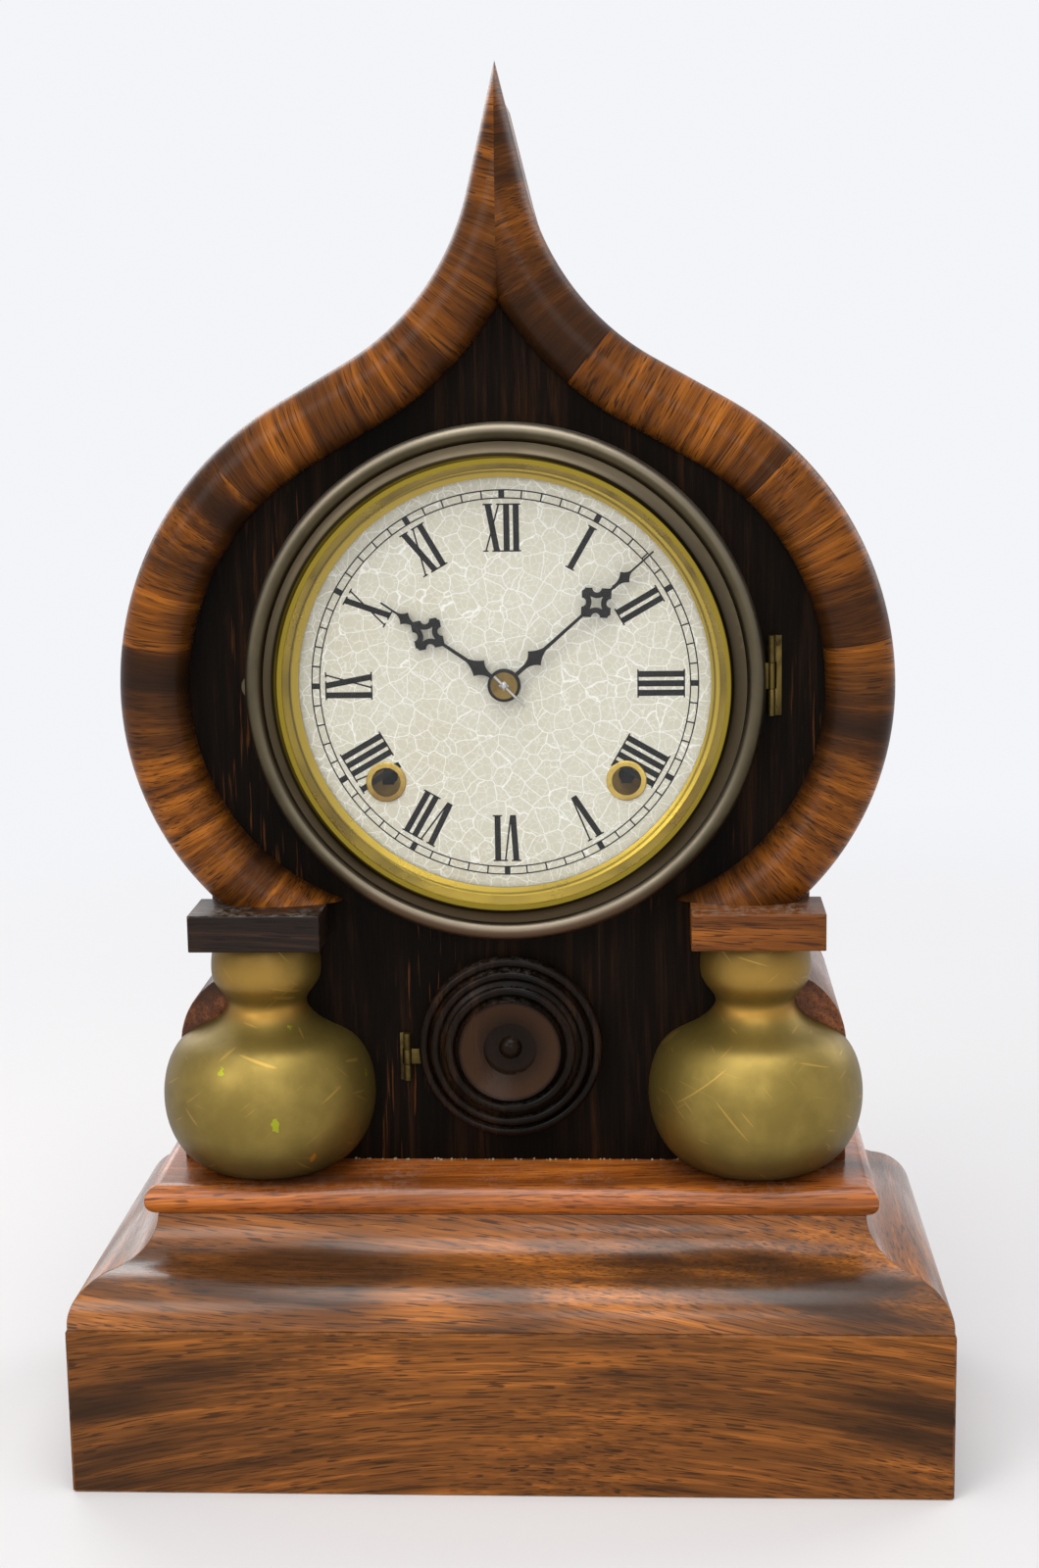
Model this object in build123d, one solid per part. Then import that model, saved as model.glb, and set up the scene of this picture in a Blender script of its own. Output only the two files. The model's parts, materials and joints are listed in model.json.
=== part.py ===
from build123d import *
from math import acos, asin, atan2, cos, degrees, hypot, pi, radians, sin, tan
import os

# A shelf clock with an onion-shaped case, built from its separate pieces.
# Millimetres. The origin is under the middle of the plinth, the front faces -Y and +Z is up.

# Shared small values
overrun = 2.0
running_clearance = 0.05
easy_gap = 0.4
end_shake = 0.3

# Base
plinth_width = 256.0
plinth_depth = 119.0
plinth_height = 49.8
plinth_board = 10.0
block_side = 22.0
ogee_height = 27.2
ogee_inset = 23.6
ogee_step = 1.4
ogee_lip = 0.5
ogee_back = 33.0
deck_thickness = 9.2
deck_setback = 20.2

# Onion outline, on its outer edge, with turns in degrees
onion_half_width = 113.0
onion_rise = 62.5
onion_low_radius = 86.6
onion_high_radius = 95.4
onion_turn = 60.5
onion_straight = 23.5
onion_hollow_radius = 74.4
onion_tip_turn = 13.6

# Case
panel_setback_share = 0.391
panel_thickness = 7.0
back_board_thickness = 6.0
wall_inset = 1.5
wall_thickness = 5.0
wall_foot_rise = 4.7
cheek_half_width = 100.0
cheek_straight = 36.0
cheek_shoulder = 20.0
rim_width = 20.0
rim_edge = 2.0
capital_inner = 53.6
capital_outer = 92.2
capital_height = 10.9
capital_depth = 23.4
capital_edge = 0.8
apple_height = 70.2
apple_radius = 31.8
apple_axis_gap = 2.0
apple_profile_shares = (
    (0.53, 0.0),
    (0.80, 0.07),
    (1.0, 0.31),
    (0.78, 0.57),
    (0.45, 0.655),
    (0.37, 0.715),
    (0.49, 0.81),
    (0.515, 0.885),
    (0.46, 1.0),
)

# Dial, bezel and hands
dial_rise = 1.7
dial_radius = 63.5
dial_thickness = 0.8
dial_opening = 56.0
dial_centre_hole = 3.2
winding_across = 35.25
winding_below = 28.5
winding_hole = 4.9
eyelet_wall = 0.6
eyelet_flange = 1.0
eyelet_height = 0.7
bezel_radius = 75.6
bezel_gap = 0.3
bead_width = 5.4
bead_foot = 6.2
collar_width = 4.6
collar_foot = 7.0
collar_crest = 10.6
lip_width = 1.4
glass_thickness = 1.8
glass_height = 7.8
sight_inner = 60.0
sight_foot = 1.7
sight_wall = 0.9
sight_step = 2.4
sight_flange = 1.2
tab_radius = 4.0
tab_reach = 1.4
tab_low = 2.2
tab_thickness = 1.4
hand_thickness = 0.6
hour_hand_length = 43.0
minute_hand_length = 58.0
hour_hand_height = 2.1
minute_hand_height = 3.5
hour_hand_angle = 304.5
minute_hand_angle = 48.6
hand_boss = 4.8
hand_shaft = 1.3
hand_tip = 0.5
hand_cross_half = 6.0
hand_cross_share = 0.62
hand_notch = 1.3
hand_notch_gap = 0.5
hand_hole_half = 2.5
hand_hole_bow = 3.5
hand_hole_bow_depth = 0.4
hand_spear_shares = (0.205, 0.81)
hand_spear_halves = (2.8, 2.1)
hand_spear_back = 4.5
hand_spear_forth = (6.5, 4.0)
hand_spear_hollow = 0.7
washer_radius = 3.9
washer_thickness = 0.7
taper_pin_thick = 0.5
taper_pin_thin = 0.35
taper_pin_length = 12.5
taper_pin_turn = 45.0
taper_pin_slide = 2.3
arbor_point = 2.4
arbor_point_edge = 0.4

# Rosette door, each half-round ring as outer radius, inner radius and foot height
rosette_place_share = 0.52
rosette_gap = 1.1
rosette_rings = (
    (27.4, 24.6, 4.2),
    (23.8, 21.2, 5.6),
    (19.6, 16.5, 6.6),
)
rosette_dish = 15.2
rosette_dish_rim = 8.8
rosette_dish_floor = 6.4
rosette_well = 7.9
rosette_well_floor = 4.4
rosette_button = 3.5
rosette_button_top = 7.0
pendulum_opening = 21.0

# Hinges
bezel_hinge_gap = 1.8
bezel_hinge_rise = 1.7
bezel_hinge_length = 23.4
rosette_hinge_gap = 3.8
rosette_hinge_drop = 3.7
rosette_hinge_length = 14.6
knuckle_radius = 1.2
hinge_pin_radius = 0.6
hinge_plate_thickness = 0.8
hinge_plate_reach = 3.0
small_plate_reach = 2.2
knuckle_lift = 1.3
knuckle_gap = 0.1
rosette_leaf_reach = 14.0

# Movement plates
plate_half_width = 60.0
plate_bottom = 58.0
plate_top = 58.0
plate_corner = 4.0
plate_thickness = 1.6
plate_setback_share = 0.118
plate_spacing_share = 0.444
pillar_low_inset = 4.0
pillar_low_rise = 3.5
pillar_high_inset = 10.0
pillar_high_drop = 11.0
pillar_radius = 3.0
pillar_stud = 1.8
nut_across = 6.4
nut_height = 2.2
post_radius = 4.5

# Trains
main_teeth = 72
main_pinion_teeth = 12
main_module = 0.8
second_teeth = 48
center_pinion_teeth = 12
second_module = 0.65
center_teeth = 80
fourth_pinion_teeth = 8
center_module = 0.42
fourth_teeth = 77
escape_pinion_teeth = 7
fourth_module = 0.40
escape_teeth = 42
escape_radius = 12.0
escape_depth = 2.0
fourth_bearing = 70.0
pin_pinion_teeth = 8
pin_wheel_teeth = 60
pin_wheel_module = 0.5
warning_pinion_teeth = 8
warning_teeth = 56
warning_module = 0.42
fly_pinion_teeth = 7
strike_second_bearing = 100.0
pin_wheel_bearing = 60.0
warning_bearing = 55.0
fly_bearing = 150.0
cannon_teeth = 12
minute_wheel_teeth = 36
cannon_module = 0.6
minute_pinion_teeth = 10
hour_wheel_teeth = 40
minute_wheel_bearing = -90.0
arbor_radius = 0.85
pivot_radius = 0.5
minute_stud = 1.2
center_radius = 1.5
hour_pipe_wall = 0.8
winding_radius = 2.4
winding_square = 3.3
winding_end_gap = 7.0
wheel_thickness = 1.2
main_wheel_thickness = 2.0
hub_radius = 2.6
wheel_arm = 2.2
wheel_rim = 2.6
main_hub = 5.2
cap_thickness = 0.6
pinion_slack = 0.5
tooth_tip_share = 0.16
tooth_root_share = 0.56
tooth_height_share = 0.95
tooth_depth_share = 1.15
leaf_tip_share = 0.20
leaf_root_share = 0.62
leaf_height_share = 0.85
lantern_pin_share = 0.45
lantern_cap_share = 1.0
ratchet_teeth = 18
ratchet_radius = 9.0
ratchet_depth = 1.6
ratchet_thickness = 1.6
hook_lean_share = 0.9
click_turn = 42.0
click_width = 2.0
click_pivot = 1.0
spring_drum = 4.4
spring_thickness = 0.5
spring_pitch = 1.8
spring_halves = 22
spring_tail = 17.0
spring_gap = 1.2

# Depths of the wheels behind the front plate, as shares of the space between the plates
main_depth_share = 0.076
second_depth_share = 0.273
center_depth_share = 0.508
fourth_depth_share = 0.697
escape_depth_share = 0.848
fly_depth_share = 0.114
fly_length_share = 0.34
spring_depth_share = 0.394
hammer_depth_share = 0.629
spring_back_gap = 1.6

# Escapement and pendulum
verge_rise = 14.8
pallet_standoff = 0.85
pallet_span = 64.0
pallet_length = 2.6
pallet_thickness = 1.2
verge_bar = 1.6
verge_radius = 1.0
crutch_place_share = 0.43
crutch_drop = 18.0
crutch_radius = 0.5
fork_thickness = 1.6
pendulum_place_share = 0.74
suspension_half = 4.0
suspension_width = 4.0
suspension_thickness = 0.25
suspension_stud = 1.6
stud_overhang = 3.0
pendulum_length = 150.8
pendulum_rod = 0.8
pendulum_clip = 4.0
pendulum_clip_width = 3.0
bob_radius = 15.5
bob_thickness = 8.0
bob_edge = 1.0
hook_radius = 2.0

# Strike
lifting_pins = 8
lifting_pin_circle = 9.5
lifting_pin_radius = 0.5
lifting_pin_length = 2.6
hammer_bearing = 170.0
hammer_tail = 9.0
hammer_gap = 0.4
hammer_wire = 1.0
hammer_head_radius = 4.5
hammer_head_length = 9.6
hammer_clear = 1.0
fly_blade = 8.4
fly_thickness = 0.6
gong_foot_gap = 5.7
gong_wire = 1.2
gong_first = 10.6
gong_pitch = 5.4
gong_halves = 10
gong_place_share = 0.90
gong_base_radius = 7.6
gong_base_gap = 4.0

# Levels and depths that follow
plinth_half = plinth_width / 2
plinth_front_face = -plinth_depth / 2
back_face = plinth_depth / 2
case_back = back_face - back_board_thickness
deck_bottom = plinth_height + ogee_height
deck_top = deck_bottom + deck_thickness
capital_bottom = deck_top + apple_height
capital_top = capital_bottom + capital_height
onion_widest = capital_top + onion_rise
wall_foot = capital_top + wall_foot_rise
wall_inner = wall_inset + wall_thickness
hands_height = onion_widest + dial_rise
rosette_height = deck_top + rosette_place_share * (hands_height - bezel_radius - deck_top)
bezel_hinge_axis = bezel_radius + bezel_hinge_gap
bezel_hinge_middle = hands_height + bezel_hinge_rise
rosette_hinge_axis = -rosette_rings[0][0] - rosette_hinge_gap
rosette_hinge_middle = rosette_height - rosette_hinge_drop
panel_front = plinth_front_face + panel_setback_share * plinth_depth
panel_back = panel_front + panel_thickness
works_depth = case_back - panel_back
plate_spacing = plate_spacing_share * works_depth
pillar_low = (plate_half_width - pillar_low_inset, pillar_low_rise - plate_bottom)
pillar_high = (plate_half_width - pillar_high_inset, plate_top - pillar_high_drop)
front_plate_front = panel_back + plate_setback_share * works_depth
front_plate_back = front_plate_front + plate_thickness
back_plate_front = front_plate_back + plate_spacing
back_plate_back = back_plate_front + plate_thickness
pendulum_plane = panel_back + pendulum_place_share * works_depth
crutch_plane = back_plate_back + crutch_place_share * (pendulum_plane - back_plate_back)
gong_plane = panel_back + gong_place_share * works_depth
gong_height = deck_top + gong_foot_gap + gong_first + gong_pitch / 2 * (gong_halves - 1) + gong_wire
main_depth = main_depth_share * plate_spacing
second_depth = second_depth_share * plate_spacing
center_depth = center_depth_share * plate_spacing
fourth_depth = fourth_depth_share * plate_spacing
escape_wheel_depth = escape_depth_share * plate_spacing
fly_depth = fly_depth_share * plate_spacing
fly_length = fly_length_share * plate_spacing
spring_depth = spring_depth_share * plate_spacing
hammer_depth = hammer_depth_share * plate_spacing
pivot_bore = pivot_radius + running_clearance


def slab(outline, front, back):
    """A plate with this outline, as seen from the front, between two depths."""
    return extrude(Plane.XZ.offset(-back) * outline, amount=back - front)


def rod(spot, radius, front, back):
    """A round bar that runs from front to back through a spot on the front view."""
    return slab(Pos(*spot) * Circle(radius), front, back)


def turned(edges, height):
    """A ring turned about the depth axis at this height, from edges of radius and depth."""
    return Pos(0, 0, height) * revolve(make_face(edges), Axis.Y)


def mirrored(part):
    """The same piece on the other side of the middle plane."""
    return mirror(part, about=Plane.YZ)


def beside(spot, bearing, distance):
    """The spot at a distance from another, in a direction in degrees from +X towards +Z."""
    angle = radians(bearing)
    return (spot[0] + distance * cos(angle), spot[1] + distance * sin(angle))


def bearing_to(spot, other):
    """The direction in radians from one spot to another."""
    return atan2(other[1] - spot[1], other[0] - spot[0])


def centre_distance(first, second, module):
    """How far apart a wheel and a pinion sit."""
    return module * (first + second) / 2


# Base


def around_base(section):
    """The front, left and right lengths of one section, mitred at the front corners."""
    front_plane = Plane((0, plinth_front_face, 0), x_dir=(0, -1, 0), z_dir=(-1, 0, 0))
    side_plane = Plane((plinth_half, 0, 0), x_dir=(1, 0, 0), z_dir=(0, -1, 0))
    inner_side = plinth_half - ogee_back
    inner_front = plinth_front_face + ogee_back
    front_plan = Polyline(
        (-plinth_half, plinth_front_face),
        (plinth_half, plinth_front_face),
        (inner_side, inner_front),
        (-inner_side, inner_front),
        close=True,
    )
    side_plan = Polyline(
        (plinth_half, plinth_front_face),
        (plinth_half, back_face),
        (inner_side, back_face),
        (inner_side, inner_front),
        close=True,
    )
    front = extrude(front_plane * section, amount=plinth_half, both=True)
    side = extrude(side_plane * section, amount=back_face, both=True)
    front = front & extrude(make_face(front_plan), amount=deck_bottom)
    side = side & extrude(make_face(side_plan), amount=deck_bottom)
    return front, mirrored(side), side


def plinth_section():
    """The upright board of the plinth."""
    return Pos(-plinth_board / 2, plinth_height / 2) * Rectangle(plinth_board, plinth_height)


def ogee_section():
    """The ogee: a bulge below and a hollow above, both ending upright."""
    foot = (-ogee_lip, plinth_height + ogee_step)
    head = (-ogee_inset, deck_bottom)
    middle = ((foot[0] + head[0]) / 2, (foot[1] + head[1]) / 2)
    edges = [
        Line((-ogee_back, plinth_height), (-ogee_lip, plinth_height)),
        Line((-ogee_lip, plinth_height), foot),
        TangentArc(foot, middle, tangent=(0, 1)),
        TangentArc(head, middle, tangent=(0, -1)),
        Line(head, (-ogee_back, deck_bottom)),
        Line((-ogee_back, deck_bottom), (-ogee_back, plinth_height)),
    ]
    return make_face(edges)


def corner_blocks():
    """Four glue blocks behind the plinth boards."""
    across = plinth_half - plinth_board - block_side / 2
    front = plinth_front_face + plinth_board + block_side / 2
    back = back_face - block_side / 2
    block = extrude(Rectangle(block_side, block_side), amount=plinth_height)
    return [Pos(x, y, 0) * block for x in (-across, across) for y in (front, back)]


def deck():
    """The shelf on the ogee, with a round nose at the front and both ends."""
    radius = deck_thickness / 2
    half = plinth_half - deck_setback
    nose = plinth_front_face + deck_setback
    middle = deck_bottom + radius
    ends = slab(Pos(0, middle) * SlotOverall(2 * half, deck_thickness), nose, back_face)
    edges = [
        Line((nose + radius, deck_bottom), (back_face, deck_bottom)),
        Line((back_face, deck_bottom), (back_face, deck_top)),
        Line((back_face, deck_top), (nose + radius, deck_top)),
        ThreePointArc((nose + radius, deck_top), (nose, middle), (nose + radius, deck_bottom)),
    ]
    front = extrude(Plane.YZ * make_face(edges), amount=half, both=True)
    notch_width = 2 * (plinth_half - ogee_back)
    notch = Pos(0, middle) * Rectangle(notch_width, 2 * deck_thickness)
    notch = slab(notch, case_back, back_face + overrun)
    return (ends & front) - notch


# Case


def onion_edges(inset, foot):
    """The right half of the onion outline from its foot to its tip, this far inside its outer edge."""
    low = (onion_half_width - onion_low_radius, onion_widest)
    high = (onion_half_width - onion_high_radius, onion_widest)
    low_radius = onion_low_radius - inset
    high_radius = onion_high_radius - inset
    start = degrees(asin((onion_widest - foot) / low_radius))
    turn = radians(onion_turn)
    tip_turn = radians(onion_tip_turn)
    leave = (high[0] + high_radius * cos(turn), high[1] + high_radius * sin(turn))
    meet = (leave[0] - onion_straight * sin(turn), leave[1] + onion_straight * cos(turn))
    hollow_radius = onion_hollow_radius + inset
    hollow = (meet[0] + hollow_radius * cos(turn), meet[1] + hollow_radius * sin(turn))
    last = (hollow[0] - hollow_radius * cos(tip_turn), hollow[1] - hollow_radius * sin(tip_turn))
    tip = (0, last[1] + last[0] / tan(tip_turn))
    return [
        CenterArc(low, low_radius, -start, start),
        CenterArc(high, high_radius, 0, onion_turn),
        Line(leave, meet),
        CenterArc(hollow, hollow_radius, 180 + onion_turn, onion_tip_turn - onion_turn),
        Line(last, tip),
    ]


def foot_and_tip(edges):
    """Both ends of a half outline as flat points."""
    foot = edges[0] @ 0
    tip = edges[-1] @ 1
    return (foot.X, foot.Y), (tip.X, tip.Y)


def both_halves(edges):
    """A half outline together with its mirror image."""
    return edges + [mirror(edge, about=Plane.YZ) for edge in edges]


def case_wall():
    """The right half of the bent strip that closes the onion's side."""
    outer = onion_edges(wall_inset, wall_foot)
    inner = onion_edges(wall_inner, wall_foot)
    outer_foot, outer_tip = foot_and_tip(outer)
    inner_foot, inner_tip = foot_and_tip(inner)
    ends = [Line(outer_tip, inner_tip), Line(outer_foot, inner_foot)]
    return slab(make_face(outer + inner + ends), panel_front, case_back)


def cheek_edges():
    """The outer line of the right cheek from the deck to the foot of the bent strip."""
    neck, _ = foot_and_tip(onion_edges(wall_inset, wall_foot))
    shoulder = deck_top + cheek_straight
    return [
        Line((cheek_half_width, deck_top), (cheek_half_width, shoulder)),
        TangentArc((cheek_half_width, shoulder), (neck[0], shoulder + cheek_shoulder), tangent=(0, 1)),
        Line((neck[0], shoulder + cheek_shoulder), neck),
    ]


def cheek():
    """The solid block below the bent strip on the right, with its round shoulder."""
    neck, _ = foot_and_tip(onion_edges(wall_inset, wall_foot))
    inner, _ = foot_and_tip(onion_edges(wall_inner, wall_foot))
    edges = cheek_edges() + [
        Line(neck, inner),
        Line(inner, (inner[0], deck_top)),
        Line((inner[0], deck_top), (cheek_half_width, deck_top)),
    ]
    return slab(make_face(edges), panel_front, case_back)


def front_panel():
    """The board inside the walls, with the dial's opening and the one behind the rosette."""
    edges = onion_edges(wall_inner, wall_foot)
    foot, _ = foot_and_tip(edges)
    sides = both_halves(edges + [Line((foot[0], deck_top), foot)])
    bottom = Line((-foot[0], deck_top), (foot[0], deck_top))
    outline = make_face(sides + [bottom])
    outline -= Pos(0, hands_height) * Circle(dial_opening)
    outline -= Pos(0, rosette_height) * Circle(pendulum_opening)
    return slab(outline, panel_front, panel_back)


def back_board():
    """The board that closes the back from the tip down to the table."""
    half = plinth_half - ogee_back
    edges = onion_edges(wall_inset, wall_foot) + cheek_edges()
    edges.append(Line((half, deck_top), (cheek_half_width, deck_top)))
    edges.append(Line((half, 0), (half, deck_top)))
    outline = make_face(both_halves(edges) + [Line((-half, 0), (half, 0))])
    return slab(outline, case_back, back_face)


def rim():
    """The right half of the half-round moulding on the front of the onion."""
    radius = rim_width / 2
    path = Plane.XZ * Wire(onion_edges(0, capital_top - rim_width))
    shoulder = panel_front - rim_edge
    edges = [
        Line((0, panel_front), (0, shoulder)),
        ThreePointArc((0, shoulder), (-radius, shoulder - radius), (-rim_width, shoulder)),
        Line((-rim_width, shoulder), (-rim_width, panel_front)),
        Line((-rim_width, panel_front), (0, panel_front)),
    ]
    start = path @ 0
    outward = -(path % 0).cross(Vector(0, 1, 0))
    section = Plane((start.X, 0, start.Z), x_dir=outward, z_dir=path % 0) * make_face(edges)
    length = sweep(section, path=path)
    keep_height = 2 * (onion_widest + onion_half_width)
    keep = Rectangle(2 * onion_half_width, keep_height)
    keep = Pos(onion_half_width, capital_top + keep_height / 2) * keep
    return length & slab(keep, shoulder - rim_width, panel_front)


def capital():
    """The block that carries the right foot of the rim."""
    width = capital_outer - capital_inner
    middle = (capital_inner + capital_outer) / 2
    outline = Pos(middle, capital_bottom + capital_height / 2) * Rectangle(width, capital_height)
    block = slab(outline, panel_front - capital_depth, panel_front)
    return fillet(block.faces().sort_by(Axis.Y)[0].edges(), capital_edge)


def apple():
    """The split turning under the right capital, flat where it meets the panel."""
    points = [(apple_radius * r, apple_height * z) for r, z in apple_profile_shares]
    edges = [
        Spline(*points),
        Line(points[-1], (0, apple_height)),
        Line((0, apple_height), (0, 0)),
        Line((0, 0), points[0]),
    ]
    whole = revolve(Plane.XZ * make_face(edges), Axis.Z)
    middle = (capital_inner + capital_outer) / 2
    depth = panel_front - apple_axis_gap
    whole = Pos(middle, depth, deck_top) * whole
    keep = Pos(middle, deck_top + apple_height / 2) * Rectangle(3 * apple_radius, 2 * apple_height)
    return whole & slab(keep, depth - 2 * apple_radius, panel_front)


# Dial, bezel and hands


def winding_spots():
    """Where the key goes in, on the strike side and on the time side."""
    height = hands_height - winding_below
    return (-winding_across, height), (winding_across, height)


def dial():
    """The round dial with its holes for the hands and the keys."""
    outline = Pos(0, hands_height) * (Circle(dial_radius) - Circle(dial_centre_hole))
    for spot in winding_spots():
        outline -= Pos(*spot) * Circle(winding_hole)
    return slab(outline, panel_front - dial_thickness, panel_front)


def dial_eyelets():
    """The brass eyelet in each winding hole."""
    face = panel_front - dial_thickness
    bore = winding_hole - eyelet_wall
    parts = []
    for spot in winding_spots():
        flange = rod(spot, winding_hole + eyelet_flange, face - eyelet_height, face)
        tube = rod(spot, winding_hole, face - eyelet_height, panel_front)
        flange = fillet(flange.edges().group_by(Axis.Y)[0], eyelet_height / 2)
        parts.append(flange + tube - rod(spot, bore, face - 2 * overrun, panel_front + overrun))
    return parts


def bezel_ring():
    """The hinged ring: a bead outside, a rising collar inside, a lip over the glass and a thumb tab."""
    def at(radius, height):
        return (radius, panel_front - height)

    bead_inner = bezel_radius - bead_width
    collar_inner = bead_inner - collar_width
    lip_inner = collar_inner - lip_width
    glass_top = glass_height + glass_thickness
    bead_middle = bezel_radius - bead_width / 2
    bead_crest = bead_foot + bead_width / 2
    bead_start = at(bezel_radius, bead_foot)
    edges = [
        Line(at(bezel_radius, bezel_gap), bead_start),
        ThreePointArc(bead_start, at(bead_middle, bead_crest), at(bead_inner, bead_foot)),
        Line(at(bead_inner, bead_foot), at(bead_inner, collar_foot)),
        TangentArc(at(bead_inner, collar_foot), at(collar_inner, collar_crest), tangent=(-1, 0)),
        Line(at(collar_inner, collar_crest), at(lip_inner, collar_crest)),
        Line(at(lip_inner, collar_crest), at(lip_inner, glass_top)),
        Line(at(lip_inner, glass_top), at(collar_inner, glass_top)),
        Line(at(collar_inner, glass_top), at(collar_inner, bezel_gap)),
        Line(at(collar_inner, bezel_gap), at(bezel_radius, bezel_gap)),
    ]
    ring = turned(edges, hands_height)
    spot = (tab_radius - bezel_radius - tab_reach, hands_height)
    tab = rod(spot, tab_radius, panel_front - tab_low - tab_thickness, panel_front - tab_low)
    return ring + tab


def glass_radius():
    """The radius of the rebate that holds the glass and the sight ring."""
    return bezel_radius - bead_width - collar_width


def bezel_glass():
    """The flat glass behind the bezel's lip."""
    back = panel_front - glass_height
    return rod((0, hands_height), glass_radius() - running_clearance, back - glass_thickness, back)


def sight_ring():
    """The bright stepped ring behind the glass that frames the dial."""
    def at(radius, height):
        return (radius, panel_front - height)

    outer = glass_radius()
    seat = glass_height - sight_flange
    tread = sight_inner + sight_step
    rise = sight_foot + sight_step
    edges = [
        Polyline(
            at(outer, glass_height),
            at(outer - sight_wall, glass_height),
            at(tread, rise),
            at(sight_inner, rise - sight_wall),
            at(sight_inner, sight_foot),
            at(tread + sight_wall, rise - sight_wall),
            at(outer, seat),
            close=True,
        )
    ]
    return turned(edges, hands_height)


def hand_spear(at, half, forth):
    """A barbed swelling of a hand, hollow on both sides of its barbs, with the barbs at this length."""
    neck = (hand_shaft / 2, at - hand_spear_back)
    barb = (half, at)
    far = (hand_tip / 2, at + forth)
    edges = [
        Line((0, neck[1]), neck),
        SagittaArc(neck, barb, hand_spear_hollow),
        SagittaArc(barb, far, hand_spear_hollow),
        Line(far, (0, far[1])),
        Line((0, far[1]), (0, neck[1])),
    ]
    side = make_face(edges)
    return side + mirror(side, about=Plane.YZ)


def hand_cross():
    """A square set on its corner, notched in its sides and free corners, and its hollow-sided hole."""
    side = hand_cross_half * hypot(1, 1)
    hole_side = hand_hole_half * hypot(1, 1)
    cross = Rot(0, 0, 45) * Rectangle(side, side)
    hole = Rot(0, 0, 45) * Rectangle(hole_side, hole_side)
    bow_reach = hole_side / 2 + hand_hole_bow - hand_hole_bow_depth
    for turn in (45, 135, 225, 315):
        cross -= Pos(*beside((0, 0), turn, side / 2)) * Circle(hand_notch)
        hole -= Pos(*beside((0, 0), turn, bow_reach)) * Circle(hand_hole_bow)
    for turn in (0, 180):
        cross -= Pos(*beside((0, 0), turn, hand_cross_half + hand_notch_gap)) * Circle(hand_notch)
    return cross, hole


def hand_outline(length, bore):
    """A pierced hand that points up: a boss, two barbed spears, a notched square cross and a fine tip."""
    shaft = Polyline(
        (-hand_shaft / 2, 0),
        (hand_shaft / 2, 0),
        (hand_tip / 2, length),
        (-hand_tip / 2, length),
        close=True,
    )
    outline = make_face(shaft) + Circle(hand_boss)
    for share, half, forth in zip(hand_spear_shares, hand_spear_halves, hand_spear_forth):
        outline += hand_spear(length * share, half, forth)
    cross, hole = hand_cross()
    outline += Pos(0, length * hand_cross_share) * cross
    outline -= Pos(0, length * hand_cross_share) * hole
    return outline - bore


def hand(outline, angle, height):
    """A flat hand set at an angle in degrees clockwise from twelve, this far in front of the panel."""
    back = panel_front - height
    return slab(Pos(0, hands_height) * Rot(0, 0, -angle) * outline, back - hand_thickness, back)


def center_square():
    """The square at the front end of the center arbor."""
    side = center_radius * hypot(1, 1)
    return Rot(0, 0, -minute_hand_angle) * Rectangle(side, side)


def hour_pipe_radius():
    """The outside of the pipe that carries the hour hand."""
    return center_radius + running_clearance + hour_pipe_wall


def hour_hand():
    """The hour hand, pressed on the hour wheel's pipe."""
    outline = hand_outline(hour_hand_length, Circle(hour_pipe_radius()))
    return hand(outline, hour_hand_angle, hour_hand_height)


def minute_hand():
    """The minute hand, on the square of the center arbor."""
    side = center_radius * hypot(1, 1)
    outline = hand_outline(minute_hand_length, Rectangle(side, side))
    return hand(outline, minute_hand_angle, minute_hand_height)


def washer_front():
    """The depth of the front of the washer over the minute hand."""
    return panel_front - minute_hand_height - hand_thickness - washer_thickness


def pin_depth():
    """The depth of the taper pin's axis."""
    return washer_front() - taper_pin_thick


def hand_fixings():
    """The washer over the minute hand and the taper pin in front of it."""
    outline = Pos(0, hands_height) * (Circle(washer_radius) - center_square())
    washer = slab(outline, washer_front(), washer_front() + washer_thickness)
    pin = Pos(0, 0, -taper_pin_slide) * Cone(taper_pin_thin, taper_pin_thick, taper_pin_length)
    pin = Pos(0, pin_depth(), hands_height) * Rot(0, -taper_pin_turn, 0) * pin
    return [washer, pin]


# Rosette door and hinges


def rosette():
    """The turned door over the pendulum's opening."""
    def at(radius, height):
        return (radius, panel_front - height)

    last = at(rosette_rings[0][0], rosette_gap)
    edges = [Line(at(0, rosette_gap), last)]
    for outer, inner, foot in rosette_rings:
        crest = foot + (outer - inner) / 2
        edges.append(Line(last, at(outer, foot)))
        edges.append(ThreePointArc(at(outer, foot), at((outer + inner) / 2, crest), at(inner, foot)))
        last = at(inner, foot)
    corners = [
        at(rosette_dish, rosette_dish_rim),
        at(rosette_well, rosette_dish_floor),
        at(rosette_well, rosette_well_floor),
        at(rosette_button, rosette_well_floor),
    ]
    for corner in corners:
        edges.append(Line(last, corner))
        last = corner
    edges.append(TangentArc(at(0, rosette_button_top), last, tangent=(1, 0)))
    edges.append(Line(at(0, rosette_button_top), at(0, rosette_gap)))
    return turned(edges, rosette_height)


def barrel(axis, low, high, radius):
    """An upright round length on a hinge's axis."""
    depth = panel_front - knuckle_lift
    return Pos(axis, depth, low) * extrude(Circle(radius), amount=high - low)


def upright_plate(left, right, low, high, front, back):
    """A flat plate between these limits as seen from the front."""
    outline = Pos((left + right) / 2, (low + high) / 2) * Rectangle(right - left, high - low)
    return slab(outline, front, back)


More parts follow.
